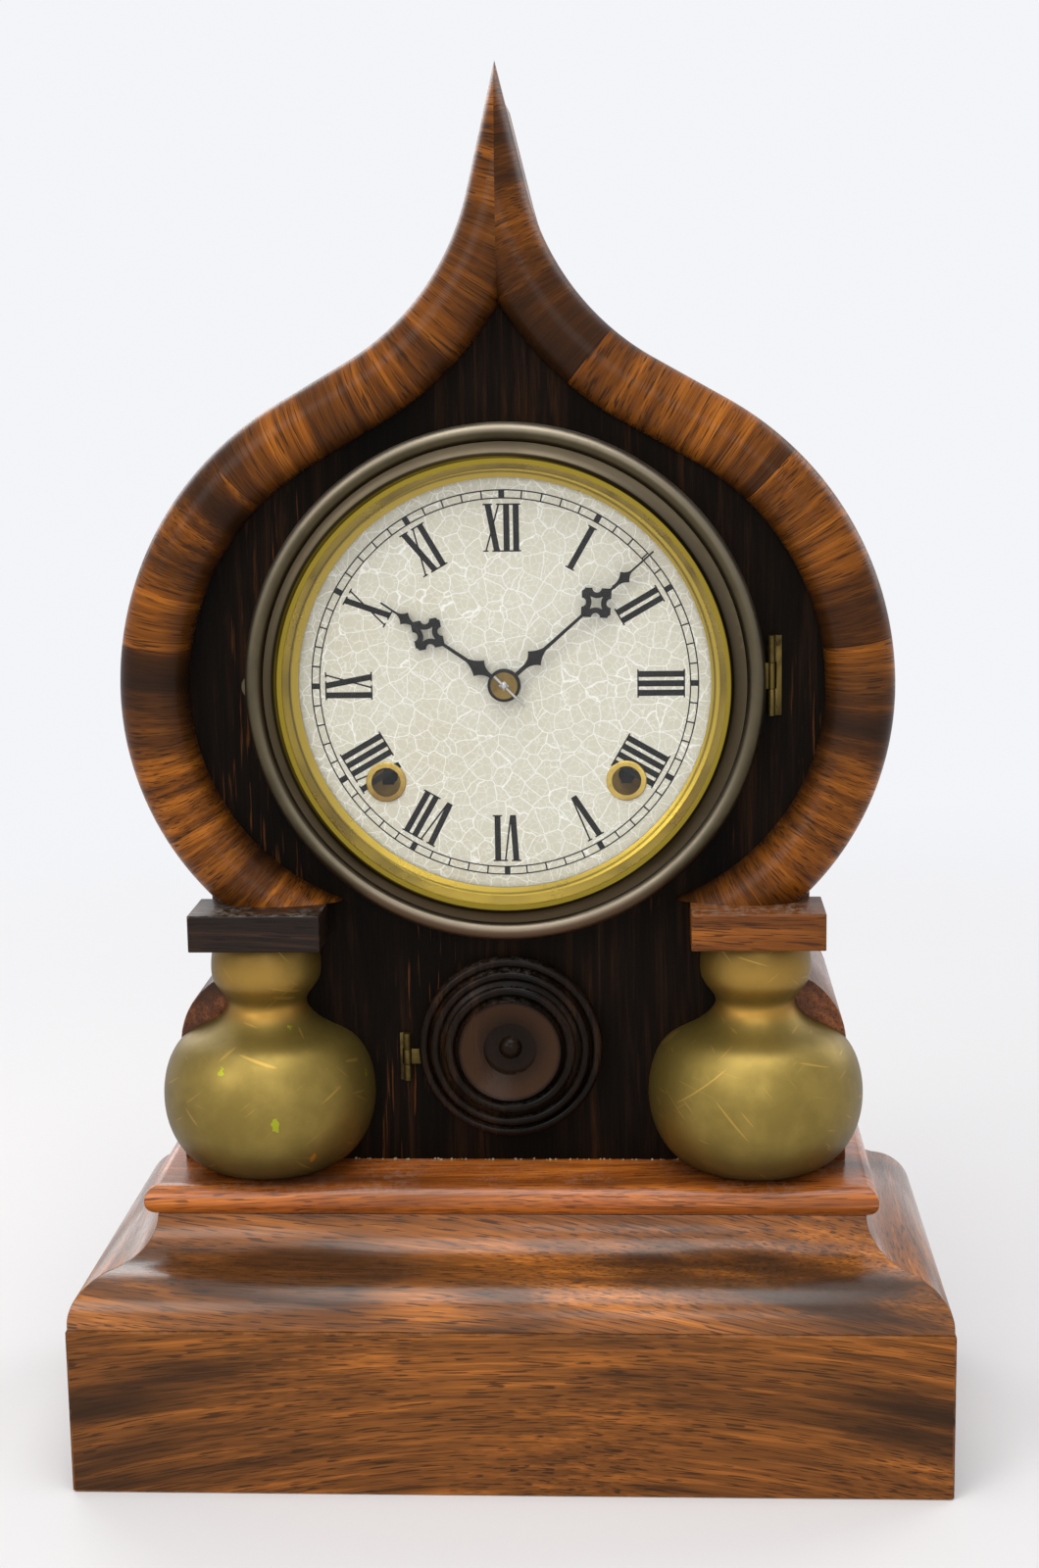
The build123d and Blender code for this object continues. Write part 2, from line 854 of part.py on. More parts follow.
def hinge_plate(axis, middle, length, outer):
    """The leaf on the case: a plate, the two end knuckles and the riveted pin."""
    low = middle - length / 2
    third = length / 3
    face = panel_front - hinge_plate_thickness
    left, right = sorted((axis, outer))
    plate = upright_plate(left, right, low, low + length, face, panel_front)
    room = barrel(axis, low + third, low + 2 * third, knuckle_radius + easy_gap)
    lower = barrel(axis, low, low + third, knuckle_radius)
    upper = barrel(axis, low + 2 * third, low + length, knuckle_radius)
    return plate - room + lower + upper + barrel(axis, low, low + length, hinge_pin_radius)


def hinge_plates():
    """Both case leaves, for the bezel on the right and for the rosette on the left."""
    outer = bezel_hinge_axis + hinge_plate_reach
    bezel = hinge_plate(bezel_hinge_axis, bezel_hinge_middle, bezel_hinge_length, outer)
    outer = rosette_hinge_axis - small_plate_reach
    small = hinge_plate(rosette_hinge_axis, rosette_hinge_middle, rosette_hinge_length, outer)
    return [bezel, small]


def hinge_leaf(axis, middle, length, reach, front, back):
    """The moving leaf: the middle knuckle with a plate that reaches to the door."""
    third = length / 3
    low = middle - third / 2 + knuckle_gap
    high = middle + third / 2 - knuckle_gap
    left, right = sorted((axis, reach))
    leaf = upright_plate(left, right, low, high, front, back) + barrel(axis, low, high, knuckle_radius)
    return leaf - barrel(axis, low - overrun, high + overrun, hinge_pin_radius + running_clearance)


def bezel_hinge_leaf():
    """The bezel's leaf, which ends on the ring's outer edge."""
    back = panel_front - knuckle_lift
    front = back - hinge_plate_thickness
    reach = bezel_radius - knuckle_radius
    leaf = hinge_leaf(bezel_hinge_axis, bezel_hinge_middle, bezel_hinge_length, reach, front, back)
    return leaf - rod((0, hands_height), bezel_radius, front - overrun, back + overrun)


def rosette_hinge_leaf():
    """The rosette's leaf, which lies under the rosette's back."""
    front = panel_front - rosette_gap
    back = front + hinge_plate_thickness
    reach = rosette_hinge_axis + rosette_leaf_reach
    return hinge_leaf(rosette_hinge_axis, rosette_hinge_middle, rosette_hinge_length, reach, front, back)


# Movement: where every arbor stands


def arbor_spots():
    """The spot of every arbor of both trains on the front view."""
    strike_main, time_main = winding_spots()
    center = (0, hands_height)
    main_reach = centre_distance(main_teeth, main_pinion_teeth, main_module)
    second_reach = centre_distance(second_teeth, center_pinion_teeth, second_module)
    gap = hypot(time_main[0] - center[0], time_main[1] - center[1])
    lean = acos((main_reach ** 2 + gap ** 2 - second_reach ** 2) / (2 * main_reach * gap))
    time_second = beside(time_main, degrees(bearing_to(time_main, center) - lean), main_reach)
    fourth_reach = centre_distance(center_teeth, fourth_pinion_teeth, center_module)
    fourth = beside(center, fourth_bearing, fourth_reach)
    escape_reach = centre_distance(fourth_teeth, escape_pinion_teeth, fourth_module)
    escape = (0, fourth[1] + (escape_reach ** 2 - fourth[0] ** 2) ** 0.5)
    strike_second = beside(strike_main, strike_second_bearing, main_reach)
    pin_reach = centre_distance(second_teeth, pin_pinion_teeth, second_module)
    pin_spot = beside(strike_second, pin_wheel_bearing, pin_reach)
    warning_reach = centre_distance(pin_wheel_teeth, warning_pinion_teeth, pin_wheel_module)
    warning = beside(pin_spot, warning_bearing, warning_reach)
    fly_reach = centre_distance(warning_teeth, fly_pinion_teeth, warning_module)
    fly_spot = beside(warning, fly_bearing, fly_reach)
    hammer_reach = lifting_pin_circle + lifting_pin_radius + hammer_gap + hammer_tail
    minute_reach = centre_distance(cannon_teeth, minute_wheel_teeth, cannon_module)
    return {
        "time_main": time_main,
        "strike_main": strike_main,
        "center": center,
        "time_second": time_second,
        "fourth": fourth,
        "escape": escape,
        "verge": (0, escape[1] + verge_rise),
        "strike_second": strike_second,
        "pin": pin_spot,
        "warning": warning,
        "fly": fly_spot,
        "hammer": beside(pin_spot, hammer_bearing, hammer_reach),
        "minute": beside(center, minute_wheel_bearing, minute_reach),
    }


spots = arbor_spots()
slim_arbors = ("time_second", "fourth", "escape", "strike_second", "pin", "warning", "fly")


def pillar_spots():
    """The four corners where pillars hold the plates apart."""
    corners = []
    for across, rise in (pillar_low, pillar_high):
        corners.append((-across, hands_height + rise))
        corners.append((across, hands_height + rise))
    return corners


def plate_outline():
    """The plain plate with round corners."""
    height = plate_bottom + plate_top
    middle = hands_height + (plate_top - plate_bottom) / 2
    return Pos(0, middle) * RectangleRounded(2 * plate_half_width, height, plate_corner)


def bored(outline, names, radius):
    """The outline with a hole at each named arbor."""
    for name in names:
        outline -= Pos(*spots[name]) * Circle(radius)
    return outline


def front_plate():
    """The front plate, with the stud for the minute wheel."""
    outline = bored(plate_outline(), slim_arbors + ("verge", "hammer"), pivot_bore)
    outline = bored(outline, ("time_main", "strike_main"), winding_radius + running_clearance)
    outline = bored(outline, ("center",), center_radius + running_clearance)
    for spot in pillar_spots():
        outline -= Pos(*spot) * Circle(pillar_stud)
    plate = slab(outline, front_plate_front, front_plate_back)
    stud_front = hour_wheel_front() - end_shake
    return plate + rod(spots["minute"], minute_stud, stud_front, front_plate_back)


def back_plate():
    """The back plate, with its pillars and the stud that the pendulum hangs from."""
    outline = bored(plate_outline(), slim_arbors + ("center",), pivot_bore)
    outline = bored(outline, ("time_main", "strike_main"), winding_radius + running_clearance)
    outline = bored(outline, ("verge", "hammer"), verge_radius + running_clearance)
    plate = slab(outline, back_plate_front, back_plate_back)
    for spot in pillar_spots():
        plate += rod(spot, pillar_radius, front_plate_back, back_plate_back)
        plate += rod(spot, pillar_stud, front_plate_front - nut_height, back_plate_back)
    stud_spot = (0, spots["verge"][1] + suspension_half + suspension_stud)
    stud_back = pendulum_plane + suspension_width / 2 + stud_overhang
    return plate + rod(stud_spot, suspension_stud, back_plate_front, stud_back)


def pillar_nuts():
    """The nut on each pillar, in front of the front plate."""
    outline = RegularPolygon(nut_across / 2, 6, major_radius=False) - Circle(pillar_stud)
    nut = slab(outline, front_plate_front - nut_height, front_plate_front)
    return [Pos(across, 0, height) * nut for across, height in pillar_spots()]


def movement_posts():
    """The posts that hold the movement off the back board."""
    return [rod(spot, post_radius, back_plate_back, case_back) for spot in pillar_spots()]


# Movement: wheels, pinions and arbors


def toothed(teeth, module, aim, shares):
    """A toothed outline with one tooth pointing in a direction in radians."""
    tip_share, root_share, height_share, depth_share = shares
    pitch = module * teeth / 2
    tip = pitch + height_share * module
    root = pitch - depth_share * module
    flanks = ((root, -root_share), (tip, -tip_share), (tip, tip_share), (root, root_share))
    corners = []
    for tooth in range(teeth):
        middle = aim + 2 * pi * tooth / teeth
        for radius, share in flanks:
            angle = middle + share * pi / teeth
            corners.append((radius * cos(angle), radius * sin(angle)))
    return make_face(Polyline(*corners, close=True))


def saw_toothed(teeth, tip, depth, lean_share):
    """An outline of hooked teeth."""
    corners = []
    for tooth in range(teeth):
        angle = 2 * pi * tooth / teeth
        lean = angle + lean_share * 2 * pi / teeth
        corners.append(((tip - depth) * cos(angle), (tip - depth) * sin(angle)))
        corners.append((tip * cos(lean), tip * sin(lean)))
    return make_face(Polyline(*corners, close=True))


wheel_shares = (tooth_tip_share, tooth_root_share, tooth_height_share, tooth_depth_share)
leaf_shares = (leaf_tip_share, leaf_root_share, leaf_height_share, tooth_depth_share)


def crossed_out(outline, radius, hub):
    """A wheel outline opened between its rim and its hub, with four arms left."""
    windows = Circle(radius) - Circle(hub)
    for turn in (0, 90):
        windows -= Rot(0, 0, turn) * Rectangle(2 * radius, wheel_arm)
    return outline - windows


def wheel(name, teeth, module, aim, depth, thickness=wheel_thickness, hub=hub_radius):
    """A toothed and crossed-out wheel at a depth behind the front plate."""
    outline = toothed(teeth, module, aim, wheel_shares)
    opening = module * teeth / 2 - wheel_rim
    outline = crossed_out(outline, opening, hub)
    front = front_plate_back + depth
    return slab(Pos(*spots[name]) * outline, front, front + thickness)


def lantern(name, pins, module, aim, depth, thickness=wheel_thickness):
    """A lantern pinion at a wheel's depth: two caps and round pins, with a gap in one direction."""
    front = front_plate_back + depth - pinion_slack
    back = front + thickness + 2 * pinion_slack
    pitch = module * pins / 2
    cap = pitch + lantern_cap_share * module
    parts = [
        rod(spots[name], cap, front - cap_thickness, front),
        rod(spots[name], cap, back, back + cap_thickness),
    ]
    for pin in range(pins):
        angle = degrees(aim + 2 * pi * pin / pins + pi / pins)
        spot = beside(spots[name], angle, pitch)
        parts.append(rod(spot, lantern_pin_share * module, front - cap_thickness, back + cap_thickness))
    return parts


def arbor(name):
    """A slim arbor with a pivot in each plate."""
    body = rod(spots[name], arbor_radius, front_plate_back + end_shake, back_plate_front - end_shake)
    return [body, rod(spots[name], pivot_radius, front_plate_front, back_plate_back)]


def fused(parts):
    """One solid from overlapping pieces."""
    whole = parts[0]
    return whole + parts[1:]


def towards(name, other):
    """The direction from one arbor to another in radians."""
    return bearing_to(spots[name], spots[other])


def main_wheel(name, other):
    """A main wheel that turns on its winding arbor, with the stud for its click."""
    aim = towards(name, other)
    body = wheel(name, main_teeth, main_module, aim, main_depth, main_wheel_thickness, main_hub)
    front = front_plate_back + main_depth
    back = front + main_wheel_thickness
    body -= rod(spots[name], winding_radius + running_clearance, front - overrun, back + overrun)
    seat = rod(click_spot(name), click_width + easy_gap, front, back)
    stud = rod(click_spot(name), click_pivot, front, back + ratchet_thickness + end_shake)
    return body + [seat, stud]


def click_side(name):
    """Plus one on the time side and minus one on the strike side."""
    return 1 if spots[name][0] > 0 else -1


def click_spot(name):
    """Where the click turns on its main wheel, on the arm that points down."""
    return (spots[name][0], spots[name][1] - ratchet_radius - 2 * click_width)


def winding_arbor(name):
    """The arbor that the key turns: a square, the ratchet wheel and the drum for the mainspring."""
    spot = spots[name]
    ratchet_front = front_plate_back + main_depth + main_wheel_thickness + end_shake
    drum_front = front_plate_back + spring_depth
    square_front = panel_front - dial_thickness + winding_end_gap
    lean_share = click_side(name) * hook_lean_share
    ratchet = saw_toothed(ratchet_teeth, ratchet_radius, ratchet_depth, lean_share)
    return fused([
        rod(spot, winding_radius, front_plate_front - end_shake, back_plate_back),
        slab(Pos(*spot) * Rectangle(winding_square, winding_square), square_front, front_plate_back),
        slab(Pos(*spot) * ratchet, ratchet_front, ratchet_front + ratchet_thickness),
        rod(spot, spring_drum, drum_front, back_plate_front - spring_back_gap),
    ])


def click(name):
    """The click on its stud, just clear of the ratchet's teeth."""
    front = front_plate_back + main_depth + main_wheel_thickness + end_shake
    back = front + ratchet_thickness
    aim = -90 + click_side(name) * click_turn
    nose = beside(spots[name], aim, ratchet_radius + easy_gap + click_width / 2)
    body = bar(click_spot(name), nose, click_width, front, back)
    body += rod(click_spot(name), click_width, front, back)
    return body - rod(click_spot(name), click_pivot + running_clearance, front - overrun, back + overrun)


def spiral(first, pitch, halves, offset):
    """Half circles that grow into a spiral, moved outwards by an offset."""
    edges = []
    for half in range(halves):
        side = half % 2
        middle = (pitch / 4, 0) if side else (-pitch / 4, 0)
        edges.append(CenterArc(middle, first + pitch / 2 * half + offset, 180 * side, 180))
    return edges


def mainspring():
    """The coiled strip, with a straight tail towards its pillar."""
    first = spring_drum + spring_gap
    half = spring_thickness / 2
    outer = spiral(first, spring_pitch, spring_halves, half)
    inner = spiral(first, spring_pitch, spring_halves, -half)
    outer_end = outer[-1] @ 1
    inner_end = inner[-1] @ 1
    outer_tail = (outer_end.X, spring_tail)
    inner_tail = (inner_end.X, spring_tail)
    edges = outer + inner + [
        Line(outer[0] @ 0, inner[0] @ 0),
        Line((outer_end.X, outer_end.Y), outer_tail),
        Line(outer_tail, inner_tail),
        Line(inner_tail, (inner_end.X, inner_end.Y)),
    ]
    return make_face(edges)


def mainsprings():
    """Both mainsprings, each beside the main wheel that it drives."""
    front = front_plate_back + spring_depth
    back = back_plate_front - spring_back_gap
    coil = mainspring()
    time_coil = Pos(*spots["time_main"]) * Rot(0, 0, -90) * coil
    strike_coil = mirror(time_coil, about=Plane.YZ)
    return [slab(time_coil, front, back), slab(strike_coil, front, back)]


def time_second_wheel():
    """The second arbor of the time train."""
    name = "time_second"
    parts = arbor(name)
    aim = towards(name, "time_main")
    parts += lantern(name, main_pinion_teeth, main_module, aim, main_depth, main_wheel_thickness)
    parts.append(wheel(name, second_teeth, second_module, towards(name, "center"), second_depth))
    return fused(parts)


def center_arbor():
    """The center arbor, which turns once an hour and carries the minute hand."""
    name = "center"
    spot = spots[name]
    point_radius = center_radius / hypot(1, 1) - running_clearance
    point = rod(spot, point_radius, pin_depth() - arbor_point / 2, washer_front())
    point = chamfer(point.edges().sort_by(Axis.Y)[0], arbor_point_edge)
    square_back = panel_front - hour_hand_height - hand_thickness
    arbor_front = panel_front - minute_hand_height
    between = towards(name, "minute") + pi / cannon_teeth
    cannon = toothed(cannon_teeth, cannon_module, between, leaf_shares)
    parts = [
        rod(spot, center_radius, arbor_front, back_plate_front - end_shake),
        rod(spot, pivot_radius, back_plate_front - overrun, back_plate_back),
        slab(Pos(*spot) * center_square(), washer_front(), square_back),
        point,
        slab(Pos(*spot) * cannon, cannon_front(), cannon_front() + wheel_thickness),
    ]
    parts += lantern(name, center_pinion_teeth, second_module, towards(name, "time_second"), second_depth)
    parts.append(wheel(name, center_teeth, center_module, towards(name, "fourth"), center_depth))
    return fused(parts) - hand_fixings()[1]


def cannon_front():
    """The depth of the front of the cannon pinion and of the minute wheel."""
    return front_plate_front - end_shake - wheel_thickness


def hour_wheel_front():
    """The depth of the front of the hour wheel."""
    return cannon_front() - end_shake - wheel_thickness


def hour_module():
    """The size of the teeth that fits the hour wheel to the minute wheel's stud."""
    reach = centre_distance(cannon_teeth, minute_wheel_teeth, cannon_module)
    return 2 * reach / (minute_pinion_teeth + hour_wheel_teeth)


def minute_wheel():
    """The wheel and pinion on the stud, between the cannon pinion and the hour wheel."""
    spot = spots["minute"]
    aim = towards("minute", "center")
    back = cannon_front() + wheel_thickness
    ring = toothed(minute_wheel_teeth, cannon_module, aim, leaf_shares)
    pinion = toothed(minute_pinion_teeth, hour_module(), aim, leaf_shares)
    body = slab(Pos(*spot) * ring, cannon_front(), back)
    body += slab(Pos(*spot) * pinion, hour_wheel_front(), cannon_front())
    return body - rod(spot, minute_stud + running_clearance, hour_wheel_front() - overrun, back + overrun)


def hour_wheel():
    """The hour wheel with the pipe that carries the hour hand."""
    spot = spots["center"]
    aim = towards("center", "minute") + pi / hour_wheel_teeth
    front = hour_wheel_front()
    ring = toothed(hour_wheel_teeth, hour_module(), aim, leaf_shares)
    pipe_front = panel_front - hour_hand_height - hand_thickness
    body = slab(Pos(*spot) * ring, front, front + wheel_thickness)
    body += rod(spot, hour_pipe_radius(), pipe_front, front + wheel_thickness)
    bore = center_radius + running_clearance
    return body - rod(spot, bore, pipe_front - overrun, front + wheel_thickness + overrun)


def fourth_wheel():
    """The fourth arbor of the time train."""
    name = "fourth"
    parts = arbor(name)
    parts += lantern(name, fourth_pinion_teeth, center_module, towards(name, "center"), center_depth)
    parts.append(wheel(name, fourth_teeth, fourth_module, towards(name, "escape"), fourth_depth))
    return fused(parts)


def escape_wheel():
    """The escape wheel with its pinion."""
    name = "escape"
    outline = saw_toothed(escape_teeth, escape_radius, escape_depth, hook_lean_share)
    outline = crossed_out(outline, escape_radius - escape_depth - wheel_rim / 2, hub_radius)
    front = front_plate_back + escape_wheel_depth
    parts = arbor(name)
    parts += lantern(name, escape_pinion_teeth, fourth_module, towards(name, "fourth"), fourth_depth)
    parts.append(slab(Pos(*spots[name]) * outline, front, front + wheel_thickness))
    return fused(parts)


def strike_second_wheel():
    """The second arbor of the strike train."""
    name = "strike_second"
    parts = arbor(name)
    aim = towards(name, "strike_main")
    parts += lantern(name, main_pinion_teeth, main_module, aim, main_depth, main_wheel_thickness)
    parts.append(wheel(name, second_teeth, second_module, towards(name, "pin"), second_depth))
    return fused(parts)


def pin_wheel():
    """The wheel whose pins lift the hammer."""
    name = "pin"
    parts = arbor(name)
    parts += lantern(name, pin_pinion_teeth, second_module, towards(name, "strike_second"), second_depth)
    parts.append(wheel(name, pin_wheel_teeth, pin_wheel_module, towards(name, "warning"), center_depth))
    front = front_plate_back + center_depth
    outline = Circle(lifting_pin_circle + wheel_arm / 2) - Circle(lifting_pin_circle - wheel_arm / 2)
    parts.append(slab(Pos(*spots[name]) * outline, front, front + wheel_thickness))
    for pin in range(lifting_pins):
        aim = hammer_bearing + 360 * (pin + 1 / 2) / lifting_pins
        spot = beside(spots[name], aim, lifting_pin_circle)
        parts.append(rod(spot, lifting_pin_radius, front, front + wheel_thickness + lifting_pin_length))
    return fused(parts)


def warning_wheel():
    """The wheel that the fly slows."""
    name = "warning"
    parts = arbor(name)
    parts += lantern(name, warning_pinion_teeth, pin_wheel_module, towards(name, "pin"), center_depth)
    parts.append(wheel(name, warning_teeth, warning_module, towards(name, "fly"), fourth_depth))
    return fused(parts)


def fly():
    """The fan that slows the strike."""
    name = "fly"
    front = front_plate_back + fly_depth
    blade = Pos(*spots[name]) * Rectangle(2 * fly_blade, fly_thickness)
    parts = arbor(name)
    parts += lantern(name, fly_pinion_teeth, warning_module, towards(name, "warning"), fourth_depth)
    parts.append(slab(blade, front, front + fly_length))
    return fused(parts)


# Escapement, pendulum and strike


def verge():
    """The pallets, their arbor and the crutch that meets the pendulum."""
    spot = spots["verge"]
    front = front_plate_back + escape_wheel_depth
    back = front + wheel_thickness
    parts = [
        rod(spot, pivot_radius, front_plate_front, front),
        rod(spot, verge_radius, front_plate_back + end_shake, crutch_plane + 2 * crutch_radius),
    ]
    for side in (-1, 1):
        aim = 90 + side * pallet_span / 2
        foot = beside(spots["escape"], aim, escape_radius + pallet_standoff)
        head = beside(spots["escape"], aim, escape_radius + pallet_standoff + pallet_length)
        parts.append(bar(foot, head, pallet_thickness, front, back))
        parts.append(bar(head, spot, verge_bar, front, back))
    bottom = spot[1] - crutch_drop
    wire = Cylinder(crutch_radius, crutch_drop)
    parts.append(Pos(0, crutch_plane, (spot[1] + bottom) / 2) * wire)
    across = pendulum_rod + easy_gap + crutch_radius
    fork = Pos(0, bottom) * Rectangle(2 * across + 2 * fork_thickness, fork_thickness)
    parts.append(slab(fork, crutch_plane - fork_thickness / 2, crutch_plane + fork_thickness / 2))
    prong_back = pendulum_plane + pendulum_rod + overrun
    for side in (-across, across):
        parts.append(rod((side, bottom), crutch_radius, crutch_plane, prong_back))
    return fused(parts)


def bar(start, end, width, front, back):
    """A flat bar between two spots on the front view."""
    length = hypot(end[0] - start[0], end[1] - start[1])
    middle = ((start[0] + end[0]) / 2, (start[1] + end[1]) / 2)
    turn = degrees(bearing_to(start, end))
    return slab(Pos(*middle) * Rot(0, 0, turn) * Rectangle(length, width), front, back)


def suspension_spring():
    """The thin strip that the pendulum swings by."""
    outline = Pos(*spots["verge"]) * Rectangle(suspension_thickness, 2 * suspension_half)
    half = suspension_width / 2
    return slab(outline, pendulum_plane - half, pendulum_plane + half)


def bob_height():
    """The height of the middle of the bob."""
    return spots["verge"][1] - pendulum_length


def pendulum():
    """The rod, with the clip for its spring above and the hook for the bob below."""
    top = spots["verge"][1] - suspension_half
    bottom = bob_height() - bob_radius - hook_radius
    clip = Pos(0, top - pendulum_clip / 2) * Rectangle(pendulum_clip_width, pendulum_clip)
    half = suspension_width / 2
    wire = extrude(Circle(pendulum_rod), amount=top - pendulum_clip - bottom)
    hook = rod((0, bottom), hook_radius, pendulum_plane - half, pendulum_plane + half)
    return fused([
        slab(clip, pendulum_plane - half, pendulum_plane + half),
        Pos(0, pendulum_plane, bottom) * wire,
        hook,
    ])


def pendulum_bob():
    """The round bob, bored for the rod."""
    bulge = bob_thickness / 2 - bob_edge
    dome = (bob_radius ** 2 + bulge ** 2) / (2 * bulge)
    middle = Pos(0, pendulum_plane, bob_height())
    bob = middle * Rot(90, 0, 0) * Cylinder(bob_radius, 2 * bob_thickness)
    for side in (-1, 1):
        bob = bob & (middle * Pos(0, side * (bob_thickness / 2 - dome), 0) * Sphere(dome))
    return bob - middle * Cylinder(pendulum_rod + running_clearance, 3 * bob_radius)


def gong_outer():
    """The outside of the gong's coil on the hammer's side."""
    return gong_first + gong_pitch / 2 * (gong_halves - 2) + gong_pitch / 4 + gong_wire


def gong():
    """The wire coil that the hammer strikes."""
    coil = Wire(spiral(gong_first, gong_pitch, gong_halves, 0))
    path = Plane.XZ.offset(-gong_plane) * Pos(0, gong_height) * coil
    return sweep(Plane(path @ 0, z_dir=path % 0) * Circle(gong_wire), path=path)


def gong_base():
    """The block on the back board that holds the inner end of the gong."""
    spot = (0, gong_height)
    boss = rod(spot, gong_base_radius, gong_plane - gong_base_gap, case_back)
    start = gong_first - gong_pitch / 4
    arm = bar(spot, (start, gong_height), 4 * gong_wire, gong_plane - gong_base_gap, case_back)
    return boss + arm - gong()


def hammer():
    """The hammer: its arbor, the tail at the lifting pins, the wire and the head beside the gong."""
    spot = spots["hammer"]
    front = front_plate_back + hammer_depth
    tail_end = beside(spots["pin"], hammer_bearing, lifting_pin_circle + lifting_pin_radius + hammer_gap)
    head = (-gong_outer() - hammer_clear - hammer_head_length / 2, gong_height)
    length = hypot(head[0] - spot[0], head[1] - spot[1])
    lean = degrees(atan2(head[0] - spot[0], spot[1] - head[1]))
    wire = Rot(0, -lean, 0) * Cylinder(hammer_wire, length)
    wire = Pos((head[0] + spot[0]) / 2, gong_plane, (head[1] + spot[1]) / 2) * wire
    block = Rot(0, 90, 0) * Cylinder(hammer_head_radius, hammer_head_length)
    block = Pos(head[0], gong_plane, head[1]) * block
    return fused([
        rod(spot, pivot_radius, front_plate_front, front),
        rod(spot, verge_radius, front_plate_back + end_shake, gong_plane + 2 * hammer_wire),
        bar(spot, tail_end, hammer_wire, front, front + wheel_thickness),
        wire,
        block,
    ])


# All pieces


def all_parts():
    """Every piece by its name, in the order of building."""
    plinth_front, plinth_left, plinth_right = around_base(plinth_section())
    ogee_front, ogee_left, ogee_right = around_base(ogee_section())
    right_cheek = cheek()
    right_wall = case_wall()
    right_rim = rim()
    right_capital = capital()
    right_apple = apple()
    return {
        "plinth_front": plinth_front,
        "plinth_left": plinth_left,
        "plinth_right": plinth_right,
        "corner_blocks": corner_blocks(),
        "ogee_front": ogee_front,
        "ogee_left": ogee_left,
        "ogee_right": ogee_right,
        "deck": deck(),
        "cheek_left": mirrored(right_cheek),
        "cheek_right": right_cheek,
        "case_wall_left": mirrored(right_wall),
        "case_wall_right": right_wall,
        "front_panel": front_panel(),
        "back_board": back_board(),
        "rim_left": mirrored(right_rim),
        "rim_right": right_rim,
        "capital_left": mirrored(right_capital),
        "capital_right": right_capital,
        "apple_left": mirrored(right_apple),
        "apple_right": right_apple,
        "dial": dial(),
        "dial_eyelets": dial_eyelets(),
        "hinge_plates": hinge_plates(),
        "bezel_ring": bezel_ring(),
        "bezel_glass": bezel_glass(),
        "sight_ring": sight_ring(),
        "bezel_hinge_leaf": bezel_hinge_leaf(),
        "rosette": rosette(),
        "rosette_hinge_leaf": rosette_hinge_leaf(),
        "front_plate": front_plate(),
        "back_plate": back_plate(),
        "pillar_nuts": pillar_nuts(),
        "movement_posts": movement_posts(),
        "time_main_wheel": main_wheel("time_main", "time_second"),
        "time_winding_arbor": winding_arbor("time_main"),
        "time_click": click("time_main"),
        "mainsprings": mainsprings(),
        "time_second_wheel": time_second_wheel(),
        "center_arbor": center_arbor(),
        "minute_wheel": minute_wheel(),
        "hour_wheel": hour_wheel(),
        "hour_hand": hour_hand(),
        "minute_hand": minute_hand(),
        "hand_fixings": hand_fixings(),
        "fourth_wheel": fourth_wheel(),
        "escape_wheel": escape_wheel(),
        "verge": verge(),
        "suspension_spring": suspension_spring(),
        "pendulum_rod": pendulum(),
        "pendulum_bob": pendulum_bob(),
        "strike_main_wheel": main_wheel("strike_main", "strike_second"),
        "strike_winding_arbor": winding_arbor("strike_main"),
        "strike_click": click("strike_main"),
        "strike_second_wheel": strike_second_wheel(),
        "pin_wheel": pin_wheel(),
        "warning_wheel": warning_wheel(),
        "fly": fly(),
        "hammer": hammer(),
        "gong": gong(),
        "gong_base": gong_base(),
    }


for name, part in all_parts().items():
    solid = Compound(children=part) if isinstance(part, list) else part
    export_step(solid, f"parts/{name}.step")
    print(name, [round(v, 1) for v in (*solid.bounding_box().min, *solid.bounding_box().max)])
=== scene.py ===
# %% [markdown]
# # An onion-topped shelf clock
# This lesson dresses a wooden shelf clock whose shape and motion were made in CAD. The CAD pieces come in
# as a frame that never moves. Here they get their wood, gilding, brass and paint, and the small things
# that CAD leaves out: printed numerals, screws, veneer joints and worn edges. All lengths are metres, +Z
# is up and the dial faces -Y.

# %% Load the frame
import json
import math

import bmesh
import bpy
from mathutils import Matrix, Vector


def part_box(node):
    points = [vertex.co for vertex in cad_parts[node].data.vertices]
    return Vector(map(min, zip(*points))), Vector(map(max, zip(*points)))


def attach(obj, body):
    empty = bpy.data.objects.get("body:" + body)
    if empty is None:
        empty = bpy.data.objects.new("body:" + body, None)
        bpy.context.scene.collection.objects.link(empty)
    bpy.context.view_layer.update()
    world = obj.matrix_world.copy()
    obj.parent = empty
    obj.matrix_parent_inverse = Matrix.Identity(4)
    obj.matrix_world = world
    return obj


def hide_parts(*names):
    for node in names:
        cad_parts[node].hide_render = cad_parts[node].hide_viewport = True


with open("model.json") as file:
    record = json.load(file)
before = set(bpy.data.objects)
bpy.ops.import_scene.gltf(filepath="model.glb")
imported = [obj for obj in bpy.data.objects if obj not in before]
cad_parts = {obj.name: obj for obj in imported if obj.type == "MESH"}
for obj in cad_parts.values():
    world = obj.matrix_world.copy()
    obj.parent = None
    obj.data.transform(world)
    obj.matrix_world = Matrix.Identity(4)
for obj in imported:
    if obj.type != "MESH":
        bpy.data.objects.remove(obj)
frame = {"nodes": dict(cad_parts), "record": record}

mm = 0.001
scene = bpy.context.scene
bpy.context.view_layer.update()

# %% [markdown]
# ## Camera
# The camera stands where the photographer stood: a little to the right of the clock, above its middle and
# looking down. Its place, its three turns and its focal length were fitted to the straight edges and
# circles of the photo. A camera could also be aimed with a Track To constraint, but that can't give the
# slight roll.

